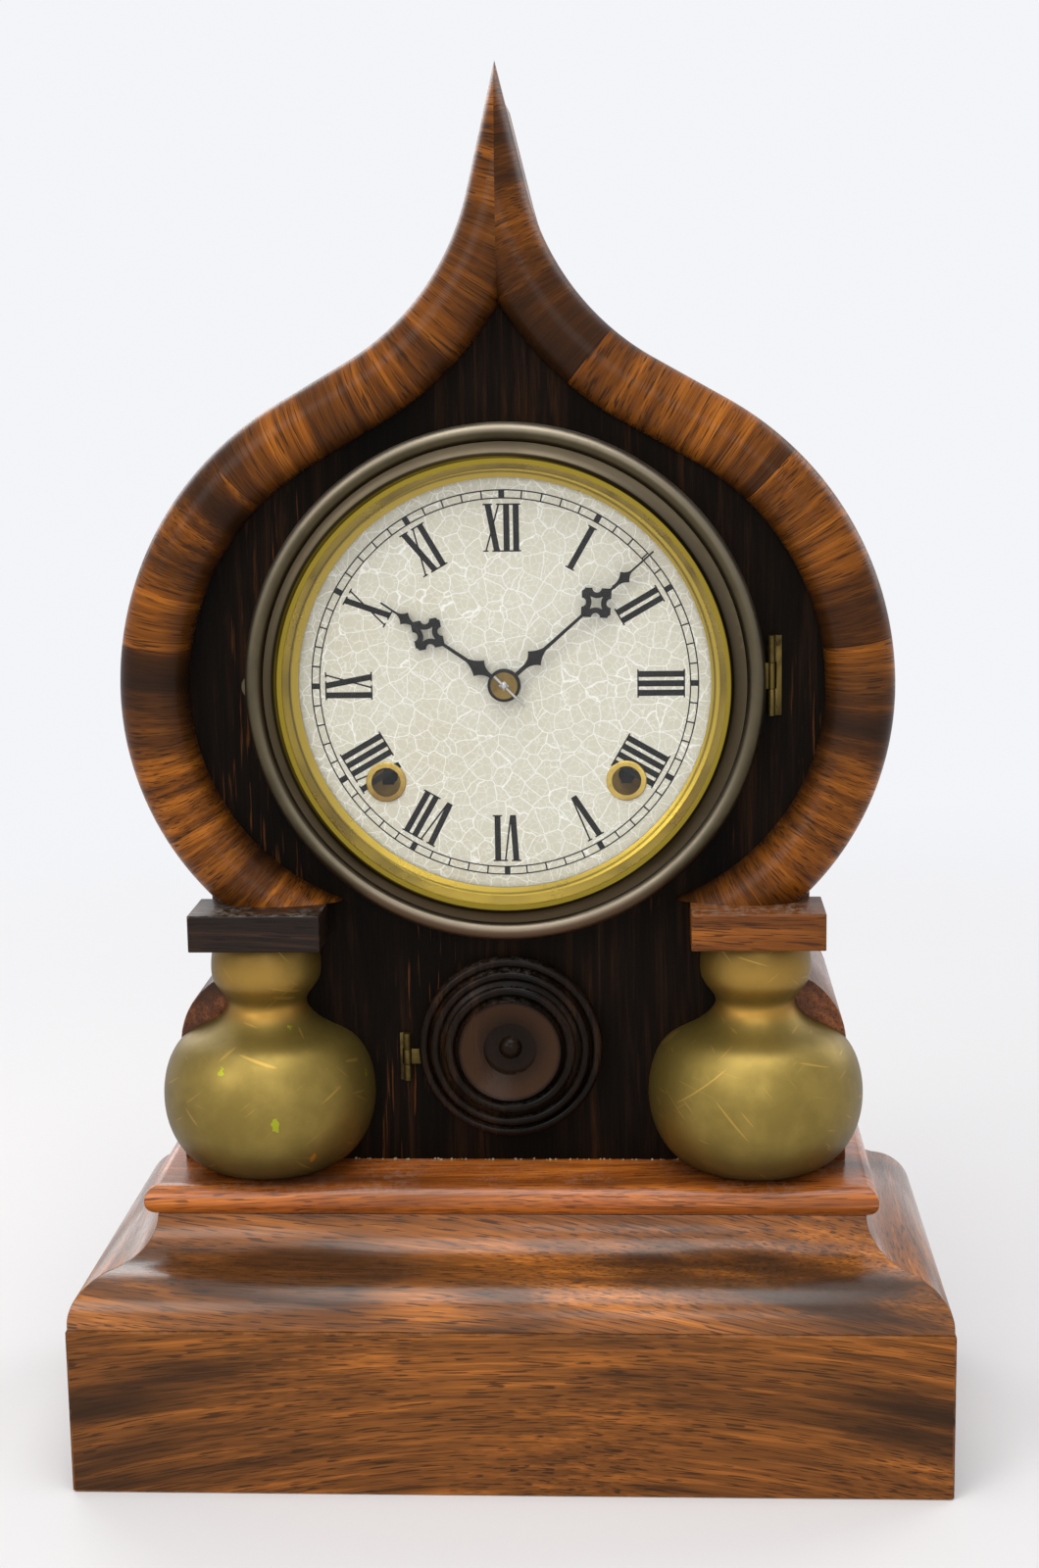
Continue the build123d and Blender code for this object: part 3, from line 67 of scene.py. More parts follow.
# %% Place the camera
photo_height = 1600
focal_pixels = 2417.5
camera_place = Vector((41.35, -698.78, 322.73)) * mm
camera_yaw, camera_pitch, camera_roll = 0.0548, 0.1747, -0.016

camera = bpy.data.objects.new("camera", bpy.data.cameras.new("camera"))
scene.collection.objects.link(camera)
scene.camera = camera
camera.data.sensor_width = 36
camera.data.lens = focal_pixels * camera.data.sensor_width / photo_height
camera.data.clip_start = 10 * mm
turn = Matrix.Rotation(camera_yaw, 4, "Z") @ Matrix.Rotation(math.pi / 2 - camera_pitch, 4, "X")
camera.matrix_world = Matrix.Translation(camera_place) @ turn @ Matrix.Rotation(camera_roll, 4, "Z")
print("lens", round(camera.data.lens, 2), "mm")

# %% [markdown]
# ## Floor, lamps and world
# The clock was photographed on a white table in soft window light. A pale floor catches its shadow. Large
# area lamps give the broad highlights on the gilding and the moulding, and a white world fills the
# shadows. The world shows white to the camera and in reflections, whatever light it gives.

# %% Build the studio
scene.view_settings.view_transform = "Standard"


def area_lamp(name, place, aim, size, power, colour=(1, 1, 1)):
    """A square soft lamp that looks at a point."""
    lamp = bpy.data.lights.new(name, "AREA")
    lamp.size = size
    lamp.energy = power
    lamp.color = colour
    holder = bpy.data.objects.new(name, lamp)
    scene.collection.objects.link(holder)
    holder.location = place
    holder.rotation_euler = (Vector(aim) - Vector(place)).to_track_quat("-Z", "Y").to_euler()
    return holder


clock_middle = (0, 0, 0.2)
area_lamp("window_left", (-1.1, -1.3, 1.1), clock_middle, 0.9, 9.5, (1.0, 0.98, 0.95))
area_lamp("window_front", (0.25, -1.7, 0.75), clock_middle, 0.7, 4)
area_lamp("ceiling", (0.0, -0.45, 1.6), clock_middle, 1.2, 17)
area_lamp("back_left", (-0.9, 1.3, 0.9), clock_middle, 0.9, 7)
area_lamp("back_right", (1.2, 0.9, 0.8), clock_middle, 0.9, 6)

world = bpy.data.worlds.new("studio")
scene.world = world
world.use_nodes = True
sky = world.node_tree
sky.nodes.clear()
sky_out = sky.nodes.new("ShaderNodeOutputWorld")
sky_seen = sky.nodes.new("ShaderNodeBackground")
sky_light = sky.nodes.new("ShaderNodeBackground")
sky_mix = sky.nodes.new("ShaderNodeMixShader")
sky_path = sky.nodes.new("ShaderNodeLightPath")
background_colour = (0.90, 0.91, 0.94, 1)
sky_seen.inputs["Color"].default_value = background_colour
sky_light.inputs["Color"].default_value = (0.95, 0.97, 1.0, 1)
sky_light.inputs["Strength"].default_value = 0.45
seen_by = sky_path.outputs["Is Camera Ray"]
for ray in ("Is Glossy Ray", "Is Transmission Ray"):
    either = sky.nodes.new("ShaderNodeMath")
    either.operation = "MAXIMUM"
    sky.links.new(seen_by, either.inputs[0])
    sky.links.new(sky_path.outputs[ray], either.inputs[1])
    seen_by = either.outputs[0]
sky.links.new(seen_by, sky_mix.inputs[0])
sky.links.new(sky_light.outputs[0], sky_mix.inputs[1])
sky.links.new(sky_seen.outputs[0], sky_mix.inputs[2])
sky.links.new(sky_mix.outputs[0], sky_out.inputs["Surface"])

floor_half = 6.0
floor_mesh = bpy.data.meshes.new("floor")
corners = [(-1, -1), (1, -1), (1, 1), (-1, 1)]
floor_mesh.from_pydata([(x * floor_half, y * floor_half, 0) for x, y in corners], [], [(0, 1, 2, 3)])
floor = bpy.data.objects.new("floor", floor_mesh)
scene.collection.objects.link(floor)

# %% [markdown]
# ## Shader helpers
# A material is a graph of nodes. These few functions place a node, set or link its inputs and return the
# output, so that each finish below reads as a short recipe.

# %% Shader helpers


def place(tree, kind, inputs=None, **settings):
    """A new node with its settings and its inputs, where an input is a value or another node's output."""
    made = tree.nodes.new(kind)
    for name, value in settings.items():
        setattr(made, name, value)
    for key, value in (inputs or {}).items():
        socket = made.inputs[key]
        if isinstance(value, bpy.types.NodeSocket):
            tree.links.new(value, socket)
        else:
            socket.default_value = value
    return made


def math_of(tree, operation, first, second=0.0, clamp=False):
    """One sum on two values."""
    values = {0: first, 1: second}
    return place(tree, "ShaderNodeMath", values, operation=operation, use_clamp=clamp).outputs[0]


def vector_of(tree, operation, first, second=(0, 0, 0)):
    """One sum on two vectors."""
    return place(tree, "ShaderNodeVectorMath", {0: first, 1: second}, operation=operation).outputs[0]


def scaled(tree, vector, factor):
    """A vector times a factor."""
    return place(tree, "ShaderNodeVectorMath", {0: vector, "Scale": factor}, operation="SCALE").outputs[0]


def length_of(tree, vector):
    """The length of a vector."""
    return place(tree, "ShaderNodeVectorMath", {0: vector}, operation="LENGTH").outputs["Value"]


def object_place(tree):
    """Where a point lies on the clock, in metres."""
    return place(tree, "ShaderNodeTexCoord").outputs["Object"]


def surface_value(tree, name):
    """A number that the mesh carries for each point or face."""
    return place(tree, "ShaderNodeAttribute", attribute_name=name).outputs["Fac"]


def mixed(tree, factor, first, second, blend="MIX"):
    """Two colours mixed by a factor."""
    node = place(tree, "ShaderNodeMix", {0: factor, 6: first, 7: second}, data_type="RGBA", blend_type=blend)
    return node.outputs[2]


def ramped(tree, value, low, high, bottom=0.0, top=1.0):
    """A smooth step of a value between two levels."""
    levels = {"Value": value, "From Min": low, "From Max": high, "To Min": bottom, "To Max": top}
    return place(tree, "ShaderNodeMapRange", levels, interpolation_type="SMOOTHSTEP").outputs[0]


def stretched(tree, vector, scale, rotation=(0, 0, 0), location=(0, 0, 0)):
    """A vector moved, turned and scaled."""
    values = {"Vector": vector, "Scale": scale, "Rotation": rotation, "Location": location}
    return place(tree, "ShaderNodeMapping", values).outputs[0]


def noise(tree, vector, scale=1.0, detail=2.0, roughness=0.5, distortion=0.0):
    """Soft noise from 0 to 1."""
    values = {"Vector": vector, "Scale": scale, "Detail": detail, "Roughness": roughness}
    values["Distortion"] = distortion
    return place(tree, "ShaderNodeTexNoise", values).outputs["Fac"]


def rgb(red, green, blue):
    """A colour as it is read off a screen, 0 to 255, as the linear values that shaders use."""
    screen = (red, green, blue)
    linear = [((c / 255 + 0.055) / 1.055) ** 2.4 if c > 10 else c / 3295 for c in screen]
    return (*linear, 1)


def new_group(name, inputs, outputs):
    """An empty shader group with its named sockets, and its input and output nodes."""
    tree = bpy.data.node_groups.new(name, "ShaderNodeTree")
    for label, kind, default in inputs:
        socket = tree.interface.new_socket(label, in_out="INPUT", socket_type=kind)
        if default is not None:
            socket.default_value = default
    for label, kind in outputs:
        tree.interface.new_socket(label, in_out="OUTPUT", socket_type=kind)
    return tree, tree.nodes.new("NodeGroupInput").outputs, tree.nodes.new("NodeGroupOutput").inputs


FLOAT, COLOUR, VECTOR = "NodeSocketFloat", "NodeSocketColor", "NodeSocketVector"
print("helpers ready")

# %% [markdown]
# ## Wood figure
# Nearly everything here is rosewood or a wood stained to look like it. Its figure is broad dark and light
# bands along the grain, thinner streaks inside them, fine fibres, and pores that show as short dark
# dashes. A photo texture would be the usual way, but noise that is stretched along the grain gives the
# same layers at any scale, and it runs through the piece like real wood. The group takes a vector whose X
# runs along the grain.

# %% Wood figure group
# How often each layer of the figure repeats, in turns per millimetre along the grain and twice across it.
sway_turns = (0.007, 0.014, 0.014)
broad_turns = (0.006, 0.05, 0.05)
streak_turns = (0.012, 0.34, 0.34)
fibre_turns = (0.035, 2.2, 2.2)
pore_turns = (0.11, 2.4, 2.4)
sway_reach = 22.0
band_edge = 0.16


def wood_figure_group():
    """Colour and height of a figured wood, from a vector in metres with X along the grain."""
    tree, given, out = new_group(
        "wood figure",
        [
            ("Vector", VECTOR, None),
            ("Pale", COLOUR, (0.3, 0.12, 0.04, 1)),
            ("Mid", COLOUR, (0.13, 0.05, 0.02, 1)),
            ("Dark", COLOUR, (0.03, 0.012, 0.006, 1)),
            ("Bands", FLOAT, 1.0),
            ("Balance", FLOAT, 0.5),
            ("Pores", FLOAT, 1.0),
            ("Sway", FLOAT, 1.0),
            ("Arch", FLOAT, 0.0),
        ],
        [("Color", COLOUR), ("Height", FLOAT), ("Gloss", FLOAT)],
    )
    in_mm = stretched(tree, given["Vector"], (1 / mm, 1 / mm, 1 / mm))
    slow_values = {"Vector": stretched(tree, in_mm, sway_turns), "Scale": 1.0, "Detail": 0.0}
    slow = place(tree, "ShaderNodeTexNoise", slow_values).outputs["Color"]
    centred = vector_of(tree, "SUBTRACT", slow, (0.5, 0.5, 0.5))
    sway = scaled(tree, centred, math_of(tree, "MULTIPLY", given["Sway"], sway_reach))
    run = place(tree, "ShaderNodeSeparateXYZ", {0: in_mm}).outputs["X"]
    rise = math_of(tree, "MULTIPLY", math_of(tree, "MULTIPLY", run, run), given["Arch"])
    arch = place(tree, "ShaderNodeCombineXYZ", {"Z": rise}).outputs[0]
    grain = vector_of(tree, "ADD", vector_of(tree, "ADD", in_mm, sway), arch)
    banded = scaled(tree, grain, given["Bands"])
    broad = noise(tree, stretched(tree, banded, broad_turns), 1.0, 2.0, 0.5)
    streak = noise(tree, stretched(tree, banded, streak_turns), 1.0, 3.0, 0.6)
    fibre = noise(tree, stretched(tree, grain, fibre_turns), 1.0, 2.0, 0.6)
    pore = noise(tree, stretched(tree, grain, pore_turns), 1.0, 0.0, 0.4)
    lowest = math_of(tree, "SUBTRACT", given["Balance"], band_edge)
    highest = math_of(tree, "ADD", given["Balance"], band_edge)
    dark_to_mid = ramped(tree, broad, lowest, highest)
    colour = mixed(tree, dark_to_mid, given["Dark"], given["Mid"])
    light = math_of(tree, "MULTIPLY", ramped(tree, streak, 0.44, 0.74), dark_to_mid)
    colour = mixed(tree, light, colour, given["Pale"])
    deep = ramped(tree, streak, 0.42, 0.26)
    colour = mixed(tree, math_of(tree, "MULTIPLY", deep, 0.75), colour, given["Dark"])
    shade = ramped(tree, fibre, 0.25, 0.75, 0.72, 1.22)
    shade_colour = place(tree, "ShaderNodeCombineColor", {0: shade, 1: shade, 2: shade}).outputs[0]
    colour = mixed(tree, 1.0, colour, shade_colour, "MULTIPLY")
    pits = math_of(tree, "MULTIPLY", ramped(tree, pore, 0.60, 0.69), given["Pores"], True)
    colour = mixed(tree, math_of(tree, "MULTIPLY", pits, 0.8), colour, given["Dark"])
    tree.links.new(colour, out["Color"])
    ridges = math_of(tree, "MULTIPLY", fibre, 0.5)
    height = math_of(tree, "SUBTRACT", ridges, math_of(tree, "MULTIPLY", pits, 0.8))
    tree.links.new(height, out["Height"])
    tree.links.new(math_of(tree, "MULTIPLY", dark_to_mid, ramped(tree, fibre, 0.2, 0.8)), out["Gloss"])
    return tree


wood_figure = wood_figure_group()
print("group:", wood_figure.name, len(wood_figure.nodes), "nodes")

# %% [markdown]
# ## Worn edges and dust
# A hundred years of handling rubs the polish off the edges, and dust settles where the cloth doesn't
# reach. The bevelled faces of every wooden piece carry the attribute worn_edge, and broken noise turns
# them into patches of paler wood. Dust lies on faces that look up. Both are groups, because most finishes
# use them.

# %% Wear and dust groups


def worn_edge_group():
    """Paler or darker wood on the bevelled edges, broken up by noise."""
    tree, given, out = new_group(
        "worn edges",
        [("Color", COLOUR, None), ("Worn", COLOUR, (0.3, 0.15, 0.06, 1)), ("Amount", FLOAT, 0.7)],
        [("Color", COLOUR), ("Mask", FLOAT)],
    )
    edge = surface_value(tree, "worn_edge")
    where = object_place(tree)
    broken = ramped(tree, noise(tree, where, 160.0, 4.0, 0.65), 0.42, 0.60)
    mask = math_of(tree, "MULTIPLY", math_of(tree, "MULTIPLY", edge, broken), given["Amount"], True)
    tree.links.new(mixed(tree, mask, given["Color"], given["Worn"]), out["Color"])
    tree.links.new(mask, out["Mask"])
    return tree


def dust_group():
    """Pale dust on the faces that look up."""
    tree, given, out = new_group(
        "dust",
        [("Color", COLOUR, None), ("Amount", FLOAT, 0.3), ("Grain", FLOAT, 400.0)],
        [("Color", COLOUR), ("Mask", FLOAT)],
    )
    normal = place(tree, "ShaderNodeNewGeometry").outputs["Normal"]
    up = place(tree, "ShaderNodeSeparateXYZ", {0: normal})
    where = object_place(tree)
    speck = place(tree, "ShaderNodeTexNoise", {"Vector": where, "Detail": 3.0, "Roughness": 0.7})
    tree.links.new(given["Grain"], speck.inputs["Scale"])
    patch = ramped(tree, noise(tree, where, 45.0, 3.0), 0.35, 0.70)
    lies = math_of(tree, "MULTIPLY", ramped(tree, up.outputs["Z"], 0.45, 0.98), patch)
    fine = ramped(tree, speck.outputs["Fac"], 0.40, 0.66)
    mask = math_of(tree, "MULTIPLY", math_of(tree, "MULTIPLY", lies, fine), given["Amount"], True)
    tree.links.new(mixed(tree, mask, given["Color"], rgb(168, 158, 146)), out["Color"])
    tree.links.new(mask, out["Mask"])
    return tree


worn_edges = worn_edge_group()
dust = dust_group()
print("groups:", worn_edges.name, dust.name)

# %% [markdown]
# ## Wooden finishes
# One function makes every wooden finish from the three groups. What changes from board to board is the
# way the grain runs, the three colours and how much polish is left. The coat is a thin layer of old
# shellac.

# %% Wood material


def new_material(name):
    """An empty node material: its tree and its Principled shader."""
    material = bpy.data.materials.new(name)
    material.use_nodes = True
    tree = material.node_tree
    return material, tree, tree.nodes["Principled BSDF"]


def use_group(tree, group, **inputs):
    """A group placed in a material, with its inputs set."""
    return place(tree, "ShaderNodeGroup", inputs, node_tree=group)


GRAIN_TURNS = {"x": (0, 0, 0), "y": (0, 0, math.pi / 2), "z": (0, math.pi / 2, 0)}


def bump(tree, height, strength, distance):
    """A normal from a height."""
    values = {"Height": height, "Strength": strength, "Distance": distance}
    return place(tree, "ShaderNodeBump", values).outputs[0]


def lay_over(tree, mask, colour):
    """A colour laid over what a material already has, where the mask says."""
    base = tree.nodes["Principled BSDF"].inputs["Base Color"]
    before = base.links[0].from_socket
    tree.links.new(mixed(tree, mask, before, rgb(*colour)), base)


stain_turns, stain_colour = (9, 26, 26), (38, 27, 20)
bare_roughness, glossy_roughness, polish_share = 0.66, 0.52, 0.4
shellac_roughness = 0.24
grain_bump, grain_depth = 0.3, 0.12 * mm


def wood(name, pale, mid, dark, grain="x", tilt=0.0, bands=1.0, balance=0.5, pores=1.0, sway=1.0, arch=0.0,
         polish=0.5, coat=0.1, shine=0.12, stain=0.0, worn=(150, 100, 60), wear=0.6, dusty=0.25,
         start=(0, 0, 0), vector=None):
    """A polished wood whose grain runs along an axis, or along the vector that a function gives."""
    material, tree, shader = new_material(name)
    where = object_place(tree)
    if vector is None:
        leaned = stretched(tree, where, (1, 1, 1), (0, math.radians(tilt), 0), start)
        along = stretched(tree, leaned, (1, 1, 1), GRAIN_TURNS[grain])
    else:
        along = vector(tree)
    figure = use_group(tree, wood_figure, Vector=along, Pale=rgb(*pale), Mid=rgb(*mid), Dark=rgb(*dark),
                       Bands=bands, Balance=balance, Pores=pores, Sway=sway, Arch=arch)
    edges = use_group(tree, worn_edges, Color=figure.outputs["Color"], Worn=rgb(*worn), Amount=wear)
    colour = edges.outputs["Color"]
    if stain:
        cloud = noise(tree, stretched(tree, where, stain_turns, location=start), 1.0, 2.0, 0.5)
        stained = math_of(tree, "MULTIPLY", ramped(tree, cloud, 0.52, 0.66), stain)
        colour = mixed(tree, stained, colour, rgb(*stain_colour))
    settled = use_group(tree, dust, Color=colour, Amount=dusty)
    tree.links.new(settled.outputs["Color"], shader.inputs["Base Color"])
    smoother = polish_share * polish
    rough_ends = (bare_roughness - smoother, glossy_roughness - smoother)
    rough = ramped(tree, figure.outputs["Gloss"], 0.0, 1.0, *rough_ends)
    rough = math_of(tree, "ADD", rough, math_of(tree, "MULTIPLY", settled.outputs["Mask"], 0.5), True)
    tree.links.new(rough, shader.inputs["Roughness"])
    shader.inputs["Coat Weight"].default_value = coat
    shader.inputs["Coat Roughness"].default_value = shellac_roughness
    shader.inputs["Specular IOR Level"].default_value = shine
    tree.links.new(bump(tree, figure.outputs["Height"], grain_bump, grain_depth), shader.inputs["Normal"])
    return material


rosewood_x = wood("rosewood_front", (170, 102, 44), (122, 74, 34), (60, 39, 22), "x", bands=1.2,
                  balance=0.42, polish=0.5, coat=0.05, sway=0.8, arch=0.0007, stain=0.4, shine=0.08)
rosewood_y = wood("rosewood_sides", (158, 96, 44), (108, 66, 32), (56, 36, 20), "y", bands=1.2,
                  balance=0.42, polish=0.5, coat=0.05, sway=0.6, stain=0.3, shine=0.08)
ogee_x = wood("ogee_front", (204, 124, 50), (154, 92, 38), (64, 42, 26), "x", bands=1.1, balance=0.44,
              polish=0.95, coat=0.6, sway=0.8, arch=0.0003, stain=0.8, dusty=0.03,
              start=(0.31, 0.02, 0.4))
ogee_y = wood("ogee_sides", (180, 108, 46), (130, 77, 34), (60, 38, 22), "y", bands=1.1, balance=0.42,
              polish=0.9, coat=0.5, sway=0.8, stain=0.5, dusty=0.03)
deck_x = wood("deck_nose", (216, 126, 46), (176, 94, 32), (92, 48, 20), "x", 1.0, bands=1.2,
              balance=0.42, polish=0.95, coat=0.6, sway=0.6, stain=0.35, worn=(110, 66, 34), dusty=0.2,
              start=(0.1, 0.7, 0.2))
cheek_wood = wood("cheeks", (150, 90, 50), (112, 64, 34), (56, 33, 20), "y", balance=0.42, polish=0.8,
                  coat=0.2)
back_wood = wood("back_board", (150, 112, 72), (116, 80, 50), (70, 46, 30), "z", bands=0.7, balance=0.34,
                 polish=0.1, coat=0.0, pores=0.6, stain=0.3)
block_wood = wood("glue_blocks", (176, 140, 94), (150, 112, 70), (100, 70, 44), "z", polish=0.0, coat=0.0)
print("woods:", len(bpy.data.materials))

# %% [markdown]
# ## Cross-banded veneer
# The half-round rim is covered with veneer whose grain runs across the moulding. Sheets of veneer are
# short, so the rim shows joints where one sheet ends and the next begins. The rim's mesh carries how far
# along and how far across it each point lies, and the shader reads those two numbers instead of Object
# coordinates. That bends the grain round the onion. A UV map would do the same job.

# %% Veneer material
veneer_sheet = 62 * mm
joint_width_share = 0.008
sheet_jump, sheet_depth = 0.137, 0.21
inner_shade_start, inner_shade_end, inner_shade_share = 17 * mm, 31 * mm, 0.7


def veneer_vector(tree):
    """The grain of the rim: across it first, then along it, with a jump at every joint."""
    along = surface_value(tree, "along")
    across = surface_value(tree, "across")
    sheet = math_of(tree, "FLOOR", math_of(tree, "DIVIDE", along, veneer_sheet))
    jump = math_of(tree, "MULTIPLY", sheet, sheet_jump)
    values = {"X": across, "Y": math_of(tree, "ADD", along, jump)}
    values["Z"] = math_of(tree, "MULTIPLY", sheet, sheet_depth)
    return place(tree, "ShaderNodeCombineXYZ", values).outputs[0]


def veneer():
    """The rim's veneer, with a dark line at the joints and painted shade on its inner side."""
    material = wood("rim_veneer", (176, 104, 34), (120, 67, 20), (50, 28, 12), bands=0.75, balance=0.47,
                    polish=0.8, coat=0.1, shine=0.05, sway=1.1, stain=0.6, dusty=0.04,
                    vector=veneer_vector)
    tree = material.node_tree
    along = surface_value(tree, "along")
    part = math_of(tree, "FRACT", math_of(tree, "DIVIDE", along, veneer_sheet))
    lay_over(tree, ramped(tree, part, joint_width_share, 0.0), (30, 17, 12))
    # Painted shade: the inner side of the half-round, next to the panel, is darkened.
    inner_shade = ramped(tree, surface_value(tree, "across"), inner_shade_start, inner_shade_end, 0.0, inner_shade_share)
    lay_over(tree, inner_shade, (22, 13, 8))
    return material


rim_veneer = veneer()
print("veneer sheets of", round(veneer_sheet / mm), "mm")

# %% [markdown]
# ## Dark wood, capitals and rosette
# The panel behind the dial is stained nearly black, and the stain has worn through in upright streaks.
# The two capitals have aged differently: the left one is dark and the right one reddish. The rosette is
# turned from a dark wood and polished, so its grain runs straight through it and the rings cut across the
# figure.

# %% Dark woods
panel_wood = wood("ebonised_panel", (52, 32, 17), (22, 14, 9), (13, 9, 6), "z", bands=1.3, balance=0.54,
                  pores=0.4, polish=0.3, coat=0.0, shine=0.04, dusty=0.03, wear=0.3, sway=0.4)


def worn_through(material, colour):
    """Thin upright streaks, in patches, where the stain has gone."""
    tree = material.node_tree
    where = object_place(tree)
    line = noise(tree, stretched(tree, where, (900, 900, 45)), 1.0, 2.0, 0.6)
    patch = noise(tree, stretched(tree, where, (26, 26, 13)), 1.0, 1.0)
    streaks = ramped(tree, line, 0.60, 0.72, 0.0, 0.75)
    lay_over(tree, math_of(tree, "MULTIPLY", streaks, ramped(tree, patch, 0.54, 0.66)), colour)


worn_through(panel_wood, (90, 52, 25))
capital_dark = wood("capital_dark", (60, 40, 28), (32, 21, 15), (16, 10, 7), "x", balance=0.4, polish=0.55,
                    worn=(110, 76, 56), dusty=0.5, start=(0.2, 0.1, 0.6))
capital_red = wood("capital_red", (152, 88, 30), (118, 65, 20), (54, 29, 12), "x", balance=0.36, polish=0.6,
                   worn=(60, 36, 26), dusty=0.4, start=(0.8, 0.3, 0.1))
rosette_dish, dish_fade = 15.4 * mm, 1.5 * mm
well_shade_shares = (0.3, 0.9)


def brown_dish(material, node, radius, colour):
    """Browner wood inside a radius round the middle of a turned piece, fading into painted shade toward the
    middle.
    """
    tree = material.node_tree
    low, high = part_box(node)
    middle = (low + high) / 2
    from_axis = stretched(tree, object_place(tree), (1, 0, 1), location=(-middle.x, 0, -middle.z))
    away = length_of(tree, from_axis)
    inside = ramped(tree, away, radius, radius - dish_fade)
    # Painted shade: the brown fades to dark toward the well in the middle of the dish.
    brown_into_well_shade = ramped(tree, away, well_shade_shares[0] * radius, well_shade_shares[1] * radius, 0.1, 0.65)
    lay_over(tree, math_of(tree, "MULTIPLY", inside, brown_into_well_shade), colour)


rosette_wood = wood("rosette_turning", (52, 33, 20), (28, 18, 11), (12, 8, 5), "z", balance=0.48,
                    polish=1.0, coat=0.08, shine=0.05, worn=(120, 88, 66), wear=0.5, dusty=0.12)
brown_dish(rosette_wood, "rosette", rosette_dish, (70, 46, 29))
print("dark woods done")

# %% [markdown]
# ## Gilding
# The split turnings were gilded over paint. The gold has gone olive and matte, with brighter gold at the
# necks, scratches that show the bright metal, and flecks of old paint. Real metal with a rough surface
# gives the soft frontal highlight, and a Layer Weight node paints shade on the sides that turn away from
# the camera. Painted shade darkens the foot and the top under the capital, and a painted highlight
# brightens the groove. The flecks are cells of a Voronoi pattern, with only some of the cells shown.

# %% Gilding material
apple_foot, apple_top = (corner.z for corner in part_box("apple_left"))
apple_rise = apple_top - apple_foot
groove_share, neck_share = 0.70, 0.80


def gilding(name, flecks, seed):
    """Old gilding: scratches, a brighter neck, a share of flecks, a painted groove highlight and painted
    shade.
    """
    material, tree, shader = new_material(name)
    where = object_place(tree)
    moved = stretched(tree, where, (1, 1, 1), location=(seed, seed * 2, 0))
    cloud = noise(tree, moved, 70.0, 5.0, 0.6)
    colour = mixed(tree, ramped(tree, cloud, 0.35, 0.68), rgb(130, 110, 50), rgb(146, 124, 60))
    height = place(tree, "ShaderNodeSeparateXYZ", {0: where}).outputs["Z"]
    share = math_of(tree, "DIVIDE", math_of(tree, "SUBTRACT", height, apple_foot), apple_rise)
    patchy = ramped(tree, cloud, 0.30, 0.60, 0.3, 1.0)
    # Painted shade: the foot of the turning is darker, as it would be in shade above the deck.
    foot = math_of(tree, "MULTIPLY", ramped(tree, share, 0.28, 0.0), 0.6)
    colour = mixed(tree, foot, colour, rgb(84, 68, 30))
    from_groove = math_of(tree, "ABSOLUTE", math_of(tree, "SUBTRACT", share, groove_share))
    # Painted highlight: the hollow groove is lighter, as if it caught the light.
    groove_highlight = ramped(tree, from_groove, 0.06, 0.0)
    colour = mixed(tree, math_of(tree, "MULTIPLY", groove_highlight, 0.6), colour, rgb(178, 128, 50))
    neck = math_of(tree, "MULTIPLY", ramped(tree, share, groove_share, neck_share), patchy)
    colour = mixed(tree, math_of(tree, "MULTIPLY", neck, 0.5), colour, rgb(172, 126, 52))
    # Painted shadow: the top of the neck darkens where the capital would shade it.
    colour = mixed(tree, ramped(tree, share, 0.86, 1.0, 0.0, 0.7), colour, rgb(84, 66, 28))
    scratch = 0.0
    for lean in (0.7, -0.9, 1.3):
        leaned = stretched(tree, moved, (1, 1, 1), (0.0, lean, 0.0))
        line = noise(tree, stretched(tree, leaned, (900, 90, 45)), 1.0, 0.0, 0.4)
        scratch = math_of(tree, "MAXIMUM", scratch, ramped(tree, line, 0.78, 0.82))
    colour = mixed(tree, math_of(tree, "MULTIPLY", scratch, 0.6), colour, rgb(186, 150, 70))
    cell_vector = stretched(tree, moved, (1, 1, 0.55), (0, 0.6, 0))
    cells = place(tree, "ShaderNodeTexVoronoi", {"Vector": cell_vector, "Scale": 230.0})
    pick = place(tree, "ShaderNodeSeparateColor", {0: cells.outputs["Color"]})
    shown = math_of(tree, "GREATER_THAN", pick.outputs["Red"], 1.0 - flecks)
    edge = math_of(tree, "MULTIPLY", noise(tree, moved, 900.0, 2.0), 0.5)
    fleck = math_of(tree, "LESS_THAN", math_of(tree, "ADD", cells.outputs["Distance"], edge), 0.5)
    fleck = math_of(tree, "MULTIPLY", fleck, shown)
    greenish = math_of(tree, "GREATER_THAN", pick.outputs["Green"], 0.35)
    hue = mixed(tree, greenish, rgb(196, 132, 40), rgb(160, 164, 36))
    colour = mixed(tree, fleck, colour, hue)
    # Painted shade: sides that turn away from the camera get darker.
    painted_edge_shade = place(tree, "ShaderNodeLayerWeight", {"Blend": 0.35}).outputs["Facing"]
    colour = mixed(tree, math_of(tree, "MULTIPLY", painted_edge_shade, 0.75), colour, rgb(58, 46, 20))
    tree.links.new(colour, shader.inputs["Base Color"])
    shader.inputs["Metallic"].default_value = 0.75
    tree.links.new(ramped(tree, cloud, 0.3, 0.7, 0.50, 0.44), shader.inputs["Roughness"])
    tree.links.new(bump(tree, cloud, 0.15, 0.3 * mm), shader.inputs["Normal"])
    return material


gilt_left = gilding("gilding_left", 0.022, 0.0)
gilt_right = gilding("gilding_right", 0.005, 0.7)
print("gilding on two turnings")

# %% [markdown]
# ## Metals
# The bezel is brass that has darkened to bronze, coppery at its foot where fingers open it. The sight
# ring behind the glass stayed bright. The movement is brass and steel. One function makes all of them
# from a clean colour, a tarnish colour and a polish, because tarnish is the same thing on all of them:
# soft clouds and small spots.

# %% Metal materials


